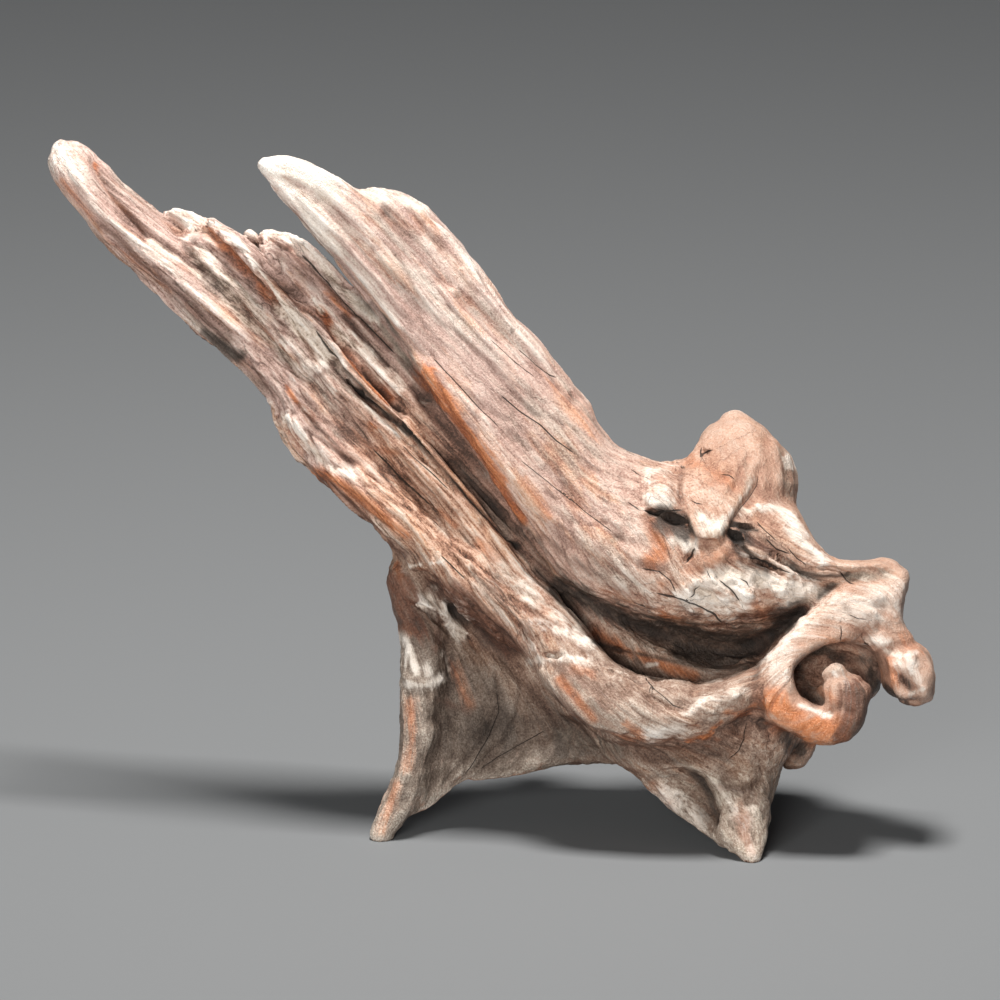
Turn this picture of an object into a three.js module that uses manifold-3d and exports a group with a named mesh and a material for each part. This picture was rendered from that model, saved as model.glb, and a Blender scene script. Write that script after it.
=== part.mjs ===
// A piece of driftwood: the weathered root of a tree, with two long split limbs, a hollow burl,
// a curled root loop and three feet that it stands on. One grown piece, parted at its main forks.
import * as THREE from "three";
import { mergeVertices } from "three/addons/utils/BufferGeometryUtils.js";
import Module from "manifold-3d";

const wasm = await Module();
wasm.setup();

// Driving dimensions, in millimetres and degrees.
const LENGTH = 354; // from the tip of the long finger to the knuckle of the root loop
const LEAN = 15; // the front is drawn as seen by an eye that looks down by this angle
const FORK_GAP = 0.3; // left free between two pieces that meet at a fork

// The front outline is drawn on a grid with x to the right and y down, and depth in millimetres
// away from the eye. The length is 886 steps of the grid.
const STEP = LENGTH / 886;
const MIDDLE_X = 490; // the grid column at the middle of the length
const GROUND_Y = 835.6; // the grid row where the ground passes depth 0
const MIDDLE_BACK = 25.4; // millimetres from that ground line back to the middle of the depth

// How finely a limb is faceted.
const FACET = 9; // millimetres round a section
const FEWEST_SIDES = 8;
const MOST_SIDES = 14;
const RINGS_PER_ROW = 1.25;
const ROUNDNESS = 2.2; // the power of the superellipse of a limb's section

const sinLean = Math.sin(THREE.MathUtils.degToRad(LEAN));
const cosLean = Math.cos(THREE.MathUtils.degToRad(LEAN));

// A point of the drawing, at its place in the part's frame.
function place(x, y, depth) {
  const up = (GROUND_Y - y) * STEP;
  return new THREE.Vector3(
    (x - MIDDLE_X) * STEP,
    up * sinLean + depth * cosLean - MIDDLE_BACK,
    up * cosLean - depth * sinLean,
  );
}

// Each limb is a list of rows. A row is one section of the limb:
// [x and y of its lower edge, x and y of its upper edge, depth of its middle, how far it bulges to
// the front and to the back]. Depths and bulges are in millimetres.
const LOWER_LIMB = {
  // The long outer rib, from the rounded finger tip down into the burl.
  finger: [
    [50, 149, 61, 139, 14, 2.5, 2.5],
    [47, 164, 80, 143, 14, 6.5, 6.5],
    [57, 186, 101, 160, 13, 8, 8],
    [80, 216, 124, 184, 12, 8.5, 8.5],
    [112, 254, 160, 213, 10, 9, 9.5],
    [150, 288, 194, 248, 8, 10, 10.5],
    [190, 327, 234, 288, 6, 11, 12],
    [232, 363, 278, 330, 4, 12, 14],
    [266, 397, 320, 376, 2, 14, 16],
    [285, 438, 362, 424, 0, 16, 18],
    [321, 481, 402, 468, -2, 17, 20],
    [362, 517, 446, 514, -4, 18, 23],
    [400, 555, 492, 556, -6, 18, 26],
    [450, 600, 545, 600, -8, 17, 28],
    [500, 640, 590, 640, -6, 14, 28],
  ],
  // The short splinter behind the second rib.
  splinter: [
    [164, 217, 178, 207, 11, 2, 2],
    [168, 228, 203, 217, 11, 4, 4],
    [190, 250, 230, 234, 9, 5, 6],
    [230, 290, 264, 268, 7, 6, 8],
    [280, 340, 304, 320, 4, 6, 8],
  ],
  // The second rib, which ends high in a bright torn tip.
  second_rib: [
    [180, 243, 190, 231, 6, 3, 3],
    [190, 258, 214, 234, 5, 5.5, 6],
    [213, 286, 246, 264, 3, 7.5, 9],
    [250, 324, 286, 304, 0, 9.5, 12],
    [300, 373, 334, 352, -3, 11, 14],
    [350, 424, 378, 402, -6, 12, 15],
    [400, 476, 426, 454, -8, 12, 16],
    [450, 528, 476, 506, -9, 12, 16],
    [502, 582, 530, 562, -8, 10, 14],
  ],
  // The third rib, the left bank of the long crack.
  third_rib: [
    [203, 226, 216, 218, 3, 2.5, 3],
    [222, 246, 241, 235, 0, 5.5, 7],
    [248, 274, 268, 260, -3, 8, 10],
    [286, 312, 306, 299, -5, 10, 12],
    [326, 352, 342, 339, -7, 11.5, 13],
    [362, 392, 374, 380, -9, 12, 14],
    [404, 436, 416, 424, -10, 12, 14],
    [450, 486, 462, 476, -11, 10, 14],
    [500, 546, 514, 538, -10, 8, 12],
  ],
  // The broad middle rib, the right bank of the crack.
  middle_rib: [
    [258, 240, 272, 228, 0, 2, 3],
    [266, 256, 294, 237, -2, 5, 7],
    [287, 284, 324, 265, -3, 8, 11],
    [314, 320, 358, 296, -4, 10, 14],
    [348, 360, 396, 338, -5, 12, 16],
    [388, 402, 426, 384, -6, 13, 18],
    [424, 442, 460, 428, -6, 13, 20],
    [464, 482, 496, 474, -5, 12, 20],
    [508, 528, 534, 520, -4, 10, 20],
    [550, 580, 582, 570, 0, 8, 18],
  ],
  // The wood behind the ribs, which closes the crack's floor.
  backing: [
    [196, 244, 222, 230, 8, 3, 5],
    [208, 264, 256, 242, 8, 5, 7],
    [238, 304, 298, 268, 7, 7, 11],
    [276, 348, 340, 302, 7, 8, 14],
    [318, 396, 380, 344, 6, 9, 17],
    [358, 444, 416, 390, 6, 10, 20],
    [400, 494, 452, 436, 6, 11, 23],
    [450, 548, 500, 488, 7, 12, 27],
    [510, 610, 560, 540, 8, 12, 30],
  ],
  // The flat wood between the finger and the third rib, which makes their grooves shallow.
  panel: [
    [202, 262, 234, 238, 3, 3, 6],
    [238, 304, 286, 276, 1, 6, 8],
    [280, 352, 332, 318, -2, 8.5, 10],
    [326, 406, 370, 368, -4, 10, 12],
    [376, 462, 414, 418, -6, 10.5, 14],
    [432, 520, 464, 474, -7, 10.5, 16],
    [496, 588, 520, 552, -6, 9, 16],
  ],
  // A pea-sized bud left on the torn edge.
  bud: [
    [243, 235, 245, 231, 4, 1.4, 1.4],
    [244, 238, 250, 229, 4, 2.4, 2.4],
    [249, 241, 257, 233, 4, 2.2, 2.4],
    [254, 246, 262, 240, 4, 1.4, 2.4],
  ],
};

const UPPER_BLADE = {
  // The left lobe, with the pointed tip.
  left_lobe: [
    [259, 168, 265, 159, -26, 2, 2.2],
    [266, 178, 292, 158, -25, 4, 4.5],
    [280, 197, 334, 175, -23, 6, 7],
    [305, 227, 376, 204, -20, 8.5, 9],
    [337, 265, 412, 240, -17, 10, 11],
    [372, 310, 450, 286, -14, 12, 13],
    [408, 357, 492, 332, -12, 14, 16],
    [446, 408, 540, 384, -11, 16, 18],
    [486, 460, 584, 440, -10, 18, 22],
    [532, 522, 626, 502, -8, 20, 26],
    [582, 586, 674, 572, -6, 22, 30],
  ],
  // The right lobe, with the blunt tip.
  right_lobe: [
    [366, 195, 375, 187, -18, 2.5, 3],
    [370, 212, 410, 196, -17, 5.5, 6],
    [392, 240, 446, 227, -15, 8, 9],
    [416, 276, 479, 269, -13, 10, 11],
    [444, 324, 510, 313, -11, 12, 14],
    [480, 376, 549, 356, -10, 14, 16],
    [520, 424, 584, 402, -9, 16, 18],
    [560, 480, 612, 444, -8, 18, 20],
    [600, 520, 650, 463, -6, 20, 24],
    [640, 560, 700, 496, -4, 20, 26],
  ],
  // The broad flat wood that carries both lobes.
  plate: [
    [322, 236, 424, 214, -15, 5, 8],
    [358, 282, 468, 262, -12, 8.5, 11],
    [402, 340, 508, 316, -10, 12, 14],
    [448, 402, 550, 360, -9, 16, 17],
    [496, 466, 592, 420, -8, 20, 21],
    [548, 530, 636, 472, -7, 23, 25],
    [600, 582, 690, 520, -6, 26, 28],
  ],
  // The thick left edge, which overhangs the middle rib.
  edge: [
    [398, 342, 412, 334, -17, 2, 4],
    [408, 358, 430, 346, -19, 4.5, 5],
    [424, 382, 456, 370, -20, 8, 7],
    [452, 420, 490, 406, -19, 10, 9],
    [484, 462, 524, 448, -18, 11, 11],
    [516, 502, 558, 490, -17, 11, 12],
    [546, 545, 590, 530, -15, 10, 12],
  ],
};

const BURL = {
  // The bulge below the blade, which overhangs the hollow.
  brow: [
    [480, 452, 560, 384, -6, 18, 18],
    [524, 520, 610, 446, -6, 23, 22],
    [560, 574, 662, 468, -6, 28, 26],
    [606, 603, 704, 482, -6, 32, 30],
    [655, 620, 742, 500, -6, 34, 32],
    [706, 627, 792, 522, -6, 32, 34],
    [766, 622, 826, 562, -6, 24, 30],
    [800, 612, 850, 590, -6, 16, 22],
  ],
  // The rolled lip under the hollow.
  lip: [
    [444, 566, 500, 540, -6, 12, 14],
    [480, 604, 545, 584, -10, 13, 16],
    [520, 652, 580, 626, -16, 14, 18],
    [546, 690, 608, 656, -22, 14, 24],
    [586, 722, 640, 674, -26, 15, 28],
    [638, 741, 672, 684, -28, 15, 30],
    [694, 742, 704, 688, -28, 15, 30],
    [732, 724, 732, 674, -28, 14, 28],
    [766, 702, 756, 656, -26, 12, 26],
  ],
  // The mass behind, which carries everything.
  heart: [
    [440, 560, 520, 480, 8, 10, 22],
    [500, 636, 600, 500, 12, 14, 30],
    [556, 712, 680, 500, 13, 18, 34],
    [612, 756, 740, 516, 13, 19, 36],
    [694, 766, 790, 556, 13, 20, 36],
    [764, 752, 826, 600, 11, 20, 32],
    [800, 722, 836, 640, 8, 18, 24],
  ],
  // The underside of the bowl, down to the front foot.
  belly: [
    [560, 716, 600, 650, -2, 14, 24],
    [596, 750, 640, 670, -6, 18, 26],
    [640, 768, 690, 680, -8, 22, 28],
    [700, 776, 730, 680, -8, 24, 30],
    [764, 768, 770, 680, -6, 22, 30],
    [792, 744, 800, 680, -2, 16, 26],
  ],
  // The root that sweeps down the back from the lower limb to the rear foot.
  low_spine: [
    [292, 342, 318, 322, 14, 8, 5],
    [352, 420, 392, 392, 20, 10, 8],
    [424, 502, 470, 468, 26, 12, 11],
    [500, 588, 548, 550, 32, 14, 13],
    [574, 668, 622, 628, 38, 14, 13],
    [636, 730, 684, 690, 45, 14, 12],
    [680, 770, 722, 738, 54, 12, 10],
  ],
  // The root that comes down beside it from the blade.
  high_spine: [
    [470, 376, 506, 352, 2, 8, 8],
    [528, 448, 574, 418, 13, 10, 10],
    [592, 522, 644, 488, 26, 12, 11],
    [650, 592, 706, 562, 36, 14, 12],
    [688, 658, 744, 644, 43, 14, 12],
    [700, 720, 746, 716, 52, 12, 9],
  ],
  // The stub of a branch that broke off the back.
  stub: [
    [500, 560, 574, 548, 36, 6, 6],
    [504, 576, 576, 564, 46, 10, 10],
    [512, 590, 572, 580, 50, 10, 11],
    [520, 602, 562, 596, 48, 8, 8],
  ],
};

const CROWN = {
  // The knuckle that stands up at the right.
  knuckle: [
    [722, 419, 741, 413, 2, 4, 4],
    [706, 431, 766, 429, 3, 12, 12],
    [696, 452, 790, 452, 4, 18, 20],
    [686, 480, 796, 480, 5, 22, 25],
    [680, 510, 797, 512, 5, 25, 28],
    [676, 545, 814, 545, 5, 27, 32],
    [676, 590, 824, 590, 5, 27, 34],
  ],
  // The smooth tongue of wood that hangs down its front.
  tongue: [
    [704, 434, 742, 434, -5, 3, 6],
    [692, 454, 750, 454, -13, 7, 8],
    [684, 474, 752, 474, -17, 9, 10],
    [681, 500, 744, 502, -21, 10, 12],
    [684, 522, 734, 526, -25, 10, 14],
    [694, 540, 718, 541, -28, 6, 14],
  ],
  // The shoulder that runs from the knuckle out to the root loop.
  shoulder: [
    [732, 526, 748, 505, -17, 8, 18],
    [752, 542, 792, 506, -17, 13, 20],
    [776, 560, 814, 540, -18, 14, 20],
    [806, 578, 838, 559, -18, 13, 18],
    [846, 586, 880, 561, -16, 11, 16],
    [876, 590, 904, 572, -14, 8, 14],
  ],
};

const ROOT_LOOP = {
  // The root that bends down at the far right and ends in a round knob.
  bend: [
    [880, 563, 897, 566, -14, 4, 5],
    [866, 576, 908, 579, -15, 10, 12],
    [850, 592, 904, 600, -16, 13, 16],
    [838, 614, 901, 620, -17, 13, 18],
    [842, 634, 912, 638, -17, 12, 18],
    [868, 650, 928, 656, -18, 12, 16],
    [880, 670, 933, 674, -20, 12, 14],
    [886, 688, 928, 690, -20, 9, 10],
    [898, 699, 914, 700, -20, 4, 4],
  ],
  // The root that curls round the dark eye and ends in a thumb.
  curl: [
    [842, 574, 878, 606, -26, 9, 14],
    [812, 604, 842, 636, -28, 10, 14],
    [785, 632, 813, 650, -30, 10, 14],
    [766, 656, 797, 664, -31, 10, 14],
    [757, 686, 790, 680, -32, 10, 13],
    [763, 716, 797, 694, -32, 10, 12],
    [788, 737, 808, 701, -32, 10, 11],
    [820, 745, 824, 705, -32, 10, 11],
    [854, 735, 838, 704, -31, 10, 11],
    [873, 706, 848, 697, -29, 9, 10],
    [864, 674, 847, 692, -27, 8, 10],
    [836, 667, 838, 690, -26, 7, 10],
    [823, 676, 828, 688, -26, 4, 8],
  ],
  // The wood behind the eye.
  eye_floor: [
    [760, 640, 850, 590, 0, 10, 22],
    [770, 700, 872, 624, 0, 12, 24],
    [784, 730, 878, 680, 0, 10, 20],
    [800, 738, 858, 712, 0, 7, 14],
  ],
  // A small lobe under the loop.
  lobe: [
    [778, 728, 812, 728, 6, 10, 14],
    [780, 750, 818, 746, 7, 9, 12],
    [784, 764, 808, 764, 8, 6, 8],
  ],
};

const LEFT_FIN = {
  // The ridge along the fin's outer edge, down to the left foot.
  shin: [
    [394, 556, 446, 552, -2, 8, 16],
    [387, 574, 448, 574, -2, 9, 16],
    [392, 600, 448, 600, -2, 9, 15],
    [399, 630, 446, 630, -2, 9, 14],
    [399, 670, 442, 670, -3, 8, 13],
    [401, 712, 438, 712, -4, 7, 12],
    [400, 756, 430, 760, -4, 6.5, 11],
    [389, 790, 420, 797, -4, 6, 10],
    [377, 815, 405, 822, -4, 5.5, 8.5],
    [370, 832, 396, 834, -4, 5.5, 7.5],
    [372, 842, 394, 842, -4, 5, 6.5],
  ],
  // The thin web between that ridge and the burl.
  web: [
    [392, 812, 404, 560, 0, 3, 7],
    [426, 810, 446, 556, 2, 4, 9],
    [464, 784, 500, 590, 6, 5, 11],
    [516, 777, 560, 630, 9, 6, 13],
    [572, 766, 610, 640, 10, 8, 15],
    [630, 764, 670, 650, 10, 9, 16],
  ],
};

const FEET = {
  // The pointed foot at the front right.
  front_foot: [
    [606, 740, 792, 736, -8, 22, 30],
    [640, 778, 778, 774, -11, 20, 22],
    [680, 816, 771, 806, -18, 15, 15],
    [716, 842, 767, 834, -26, 10, 10],
    [738, 856, 762, 850, -31, 7, 7],
    [744, 866, 758, 862, -33, 5, 6],
  ],
  // The buttress that runs back and down to the rear foot, out of sight from the front.
  rear_foot: [
    [640, 620, 764, 620, 24, 20, 22],
    [662, 668, 758, 668, 38, 18, 20],
    [686, 715, 748, 715, 54, 14, 16],
    [700, 752, 740, 752, 68, 10, 11],
    [705, 780, 735, 780, 78, 8, 8],
    [706, 800, 734, 800, 84, 7, 7],
  ],
};

const HOLLOWS = {
  // The long hollow between the brow and the lip.
  throat: [
    [510, 556, 520, 544, -30, 20, 14],
    [556, 592, 566, 578, -30, 20, 20],
    [610, 628, 620, 606, -30, 24, 28],
    [664, 655, 672, 621, -28, 26, 32],
    [716, 674, 722, 628, -26, 28, 34],
    [756, 662, 760, 626, -26, 28, 32],
    [784, 636, 792, 616, -26, 28, 22],
  ],
  // The scoop in the side of the front foot.
  scoop: [
    [652, 772, 668, 766, -36, 10, 6],
    [658, 792, 704, 776, -36, 10, 10],
    [680, 812, 716, 802, -40, 10, 12],
    [706, 832, 716, 826, -42, 10, 8],
  ],
  // The cleft in the back, between the two spines.
  cleft: [
    [556, 510, 572, 492, 50, 8, 14],
    [592, 572, 628, 538, 52, 16, 16],
    [632, 628, 668, 598, 56, 17, 16],
    [668, 680, 688, 664, 60, 10, 14],
  ],
  // The pocket at the foot of the tongue.
  pocket: [
    [644, 514, 650, 507, -42, 12, 12],
    [656, 527, 664, 508, -42, 12, 20],
    [672, 532, 680, 512, -42, 12, 18],
  ],
};

// A closed skin through the rows of one limb: each edge is a smooth curve through the rows, and
// each section a superellipse between the two edges, with its own bulge in front and behind.
function limb(rows) {
  const curve = (points) => new THREE.CatmullRomCurve3(points, false, "catmullrom", 0.5);
  const lower = curve(rows.map(([x, y]) => new THREE.Vector3(x, y, 0)));
  const upper = curve(rows.map(([, , x, y]) => new THREE.Vector3(x, y, 0)));
  const body = curve(rows.map((row) => new THREE.Vector3(row[4], row[5], row[6])));
  const rings = Math.ceil(rows.length * RINGS_PER_ROW);
  const girths = rows.map(([ax, ay, bx, by, , front, back]) => {
    return 2 * Math.hypot(bx - ax, by - ay) * STEP + 1.2 * (front + back);
  });
  const sides = THREE.MathUtils.clamp(
    2 * Math.round(Math.max(...girths) / FACET / 2),
    FEWEST_SIDES,
    MOST_SIDES,
  );
  const bend = (value) => Math.sign(value) * Math.abs(value) ** (2 / ROUNDNESS);

  const points = [];
  for (let ring = 0; ring < rings; ring++) {
    const t = ring / (rings - 1);
    const a = lower.getPoint(t);
    const b = upper.getPoint(t);
    const { x: depth, y: front, z: back } = body.getPoint(t);
    for (let side = 0; side < sides; side++) {
      const angle = (side / sides) * 2 * Math.PI;
      const share = (1 + bend(Math.cos(angle))) / 2;
      const out = bend(Math.sin(angle));
      const bulge = out > 0 ? -out * front : -out * back;
      points.push(place(a.x + (b.x - a.x) * share, a.y + (b.y - a.y) * share, depth + bulge));
    }
  }
  return closedSkin(points, rings, sides);
}

// Rings of points joined by quads, with a fan of triangles over each end.
function closedSkin(points, rings, sides) {
  const faces = [];
  for (let ring = 0; ring + 1 < rings; ring++) {
    for (let side = 0; side < sides; side++) {
      const next = (side + 1) % sides;
      const [p, q] = [ring * sides + side, ring * sides + next];
      const [r, s] = [p + sides, q + sides];
      faces.push(p, q, s, p, s, r);
    }
  }
  for (const ring of [0, rings - 1]) {
    const loop = points.slice(ring * sides, (ring + 1) * sides);
    const middle = loop.reduce((sum, v) => sum.add(v), new THREE.Vector3()).divideScalar(sides);
    const centre = points.push(middle) - 1;
    for (let side = 0; side < sides; side++) {
      const [p, q] = [ring * sides + side, ring * sides + ((side + 1) % sides)];
      faces.push(centre, ...(ring ? [p, q] : [q, p]));
    }
  }
  const geometry = new THREE.BufferGeometry().setFromPoints(points);
  geometry.setIndex(faces);
  return geometry;
}

// A geometry as a solid to join and cut. One whose faces point inwards is turned inside out.
function solid(geometry) {
  const bare = geometry.clone();
  bare.deleteAttribute("normal");
  bare.deleteAttribute("uv");
  const merged = mergeVertices(bare, 1e-4);
  const make = (triVerts) =>
    new wasm.Manifold(
      new wasm.Mesh({
        numProp: 3,
        vertProperties: new Float32Array(merged.attributes.position.array),
        triVerts,
      }),
    );
  const faces = new Uint32Array(merged.index.array);
  const made = make(faces);
  return made.volume() > 0 ? made : make(faces.reverse());
}

// All the limbs of some groups as one solid.
function join(...groups) {
  const solids = groups.flatMap((group) => Object.values(group)).map((rows) => solid(limb(rows)));
  return solids.reduce((sum, next) => sum.add(next));
}

// Everything on one side of the plane through three points of the drawing, as a large box.
// The side is the one that the right-hand rule over the three points gives.
function halfSpace([p, q, r], shift) {
  const SIZE = 2000;
  const [a, b, c] = [place(...p), place(...q), place(...r)];
  const along = b.clone().sub(a).normalize();
  const normal = along.clone().cross(c.sub(a)).normalize();
  const box = new THREE.BoxGeometry(SIZE, SIZE, SIZE);
  box.translate(0, 0, SIZE / 2 + shift);
  box.applyMatrix4(new THREE.Matrix4().makeBasis(along, normal.clone().cross(along), normal));
  box.translate(a.x, a.y, a.z);
  return solid(box);
}

// Parts a solid at a fork. It gives the piece beyond all the planes, and the rest.
function fork(whole, planes) {
  const beyond = (shift) => planes.map((plane) => halfSpace(plane, shift))
    .reduce((sum, next) => sum.intersect(next));
  return [whole.intersect(beyond(FORK_GAP / 2)), whole.subtract(beyond(-FORK_GAP / 2))];
}

// A fork along a chain of points of the drawing, whose planes are seen edge-on from the front. The
// piece lies to the left of somebody who walks along the chain.
function forkAlong(whole, ...chain) {
  const planes = chain.slice(1).map(([x1, y1], i) => {
    const [x0, y0] = chain[i];
    return [[x0, y0, 0], [x1, y1, 0], [x1, y1, 100]];
  });
  return fork(whole, planes);
}

const BARK = { roughness: 0.75, metalness: 0 };
const COLOURS = {
  lower_limb: 0xa68a7c,
  upper_blade: 0xb89d92,
  crown: 0xc2a08c,
  root_loop: 0xb9835f,
  burl: 0x9c8474,
  left_fin: 0x5e5049,
  front_foot: 0x847467,
  rear_foot: 0x75665b,
};

// One named piece of the wood, without the crumbs that a fork leaves where it crosses a groove.
function piece(name, made) {
  const [main] = made.decompose().sort((a, b) => b.volume() - a.volume());
  const { numProp, vertProperties, triVerts } = main.getMesh();
  const geometry = new THREE.BufferGeometry();
  const places = new THREE.InterleavedBuffer(vertProperties, numProp);
  geometry.setAttribute("position", new THREE.InterleavedBufferAttribute(places, 3, 0));
  geometry.setIndex(new THREE.BufferAttribute(triVerts, 1));
  geometry.computeVertexNormals();
  const material = new THREE.MeshStandardMaterial({ color: COLOURS[name], ...BARK });
  const mesh = new THREE.Mesh(geometry, material);
  mesh.name = name;
  return mesh;
}

// The whole root, hollowed and stood on flat ground.
function wholeRoot() {
  const grown = join(LOWER_LIMB, UPPER_BLADE, BURL, CROWN, ROOT_LOOP, LEFT_FIN, FEET);
  const above = new THREE.BoxGeometry(1000, 1000, 1000).translate(0, 0, 500);
  return grown.subtract(join(HOLLOWS)).intersect(solid(above));
}

const pieces = {};
let rest = wholeRoot();
[pieces.left_fin, rest] = forkAlong(rest, [610, 770], [380, 545]);
[pieces.rear_foot, rest] = fork(rest, [[[700, 690, 50], [800, 690, 50], [700, 800, 28]]]);
[pieces.front_foot, rest] = forkAlong(rest, [800, 768], [590, 752]);
[pieces.root_loop, rest] = forkAlong(rest, [846, 556], [752, 716]);
[pieces.crown, rest] = forkAlong(rest, [676, 300], [676, 466], [806, 530]);
let limbs;
[limbs, pieces.burl] = forkAlong(rest, [395, 560], [650, 455], [650, 300]);
[pieces.lower_limb, pieces.upper_blade] = forkAlong(limbs, [500, 480], [270, 180]);

const driftwood = new THREE.Group();
driftwood.name = "driftwood";
for (const [name, made] of Object.entries(pieces)) driftwood.add(piece(name, made));

export default driftwood;
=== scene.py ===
"""A piece of driftwood, the weathered root of a tree, on a plain floor under soft studio light.

Every limb is a profile carried along a path. The limbs are fused into one skin, which is then
carved with the wood's own fibres, cracks, pits and chips, and parted at the same forks as the CAD
nodes that the pieces replace.
"""
import math

import bpy
import numpy as np
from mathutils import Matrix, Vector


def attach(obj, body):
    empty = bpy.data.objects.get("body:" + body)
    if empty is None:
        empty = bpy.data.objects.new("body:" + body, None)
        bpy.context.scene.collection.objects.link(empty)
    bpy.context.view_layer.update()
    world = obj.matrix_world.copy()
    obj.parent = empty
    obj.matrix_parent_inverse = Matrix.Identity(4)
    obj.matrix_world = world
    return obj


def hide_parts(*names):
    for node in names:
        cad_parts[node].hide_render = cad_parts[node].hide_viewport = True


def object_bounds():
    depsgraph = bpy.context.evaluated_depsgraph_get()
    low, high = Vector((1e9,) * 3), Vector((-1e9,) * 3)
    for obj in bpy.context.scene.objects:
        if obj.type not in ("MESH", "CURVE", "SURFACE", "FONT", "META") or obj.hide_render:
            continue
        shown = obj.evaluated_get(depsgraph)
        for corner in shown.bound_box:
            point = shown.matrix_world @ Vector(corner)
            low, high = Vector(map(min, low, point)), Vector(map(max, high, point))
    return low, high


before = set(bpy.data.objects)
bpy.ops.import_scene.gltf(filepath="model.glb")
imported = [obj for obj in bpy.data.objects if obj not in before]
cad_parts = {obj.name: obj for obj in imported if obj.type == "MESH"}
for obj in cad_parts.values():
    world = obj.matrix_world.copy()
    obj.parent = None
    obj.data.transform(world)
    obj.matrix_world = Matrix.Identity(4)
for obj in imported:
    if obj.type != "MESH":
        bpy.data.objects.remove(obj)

import openvdb
from mathutils import Vector
from mathutils.geometry import tessellate_polygon

CAD_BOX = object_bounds()

# The CAD model's drawing grid: x to the right and y down, as seen by an eye that looks down by
# LEAN, and depth in millimetres away from the eye.
LENGTH = 354.0
LEAN = math.radians(15.0)
STEP = LENGTH / 886
MIDDLE_X = 490.0
GROUND_Y = 835.6
MIDDLE_BACK = 25.4
MM = 0.001

# How finely the skin is worked, in millimetres.
VOXEL = 0.85
REACH = 9.0  # how far from a limb's surface its distance is known
COARSE = 5.0  # the spacing of the grid that holds the run of the grain


def place(x, y, depth):
    """Drawing points to millimetres in the part's frame: the drawing plane leans back by LEAN."""
    x, y, depth = np.broadcast_arrays(x, y, depth)
    up = (GROUND_Y - y) * STEP
    return np.stack([
        (x - MIDDLE_X) * STEP,
        up * math.sin(LEAN) + depth * math.cos(LEAN) - MIDDLE_BACK,
        up * math.cos(LEAN) - depth * math.sin(LEAN),
    ], axis=-1)


def drawing(points):
    """The reverse of place: the drawing's x, y and depth of points in the part's frame."""
    back = points[..., 1] + MIDDLE_BACK
    up = back * math.sin(LEAN) + points[..., 2] * math.cos(LEAN)
    depth = back * math.cos(LEAN) - points[..., 2] * math.sin(LEAN)
    return points[..., 0] / STEP + MIDDLE_X, GROUND_Y - up / STEP, depth


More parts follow.
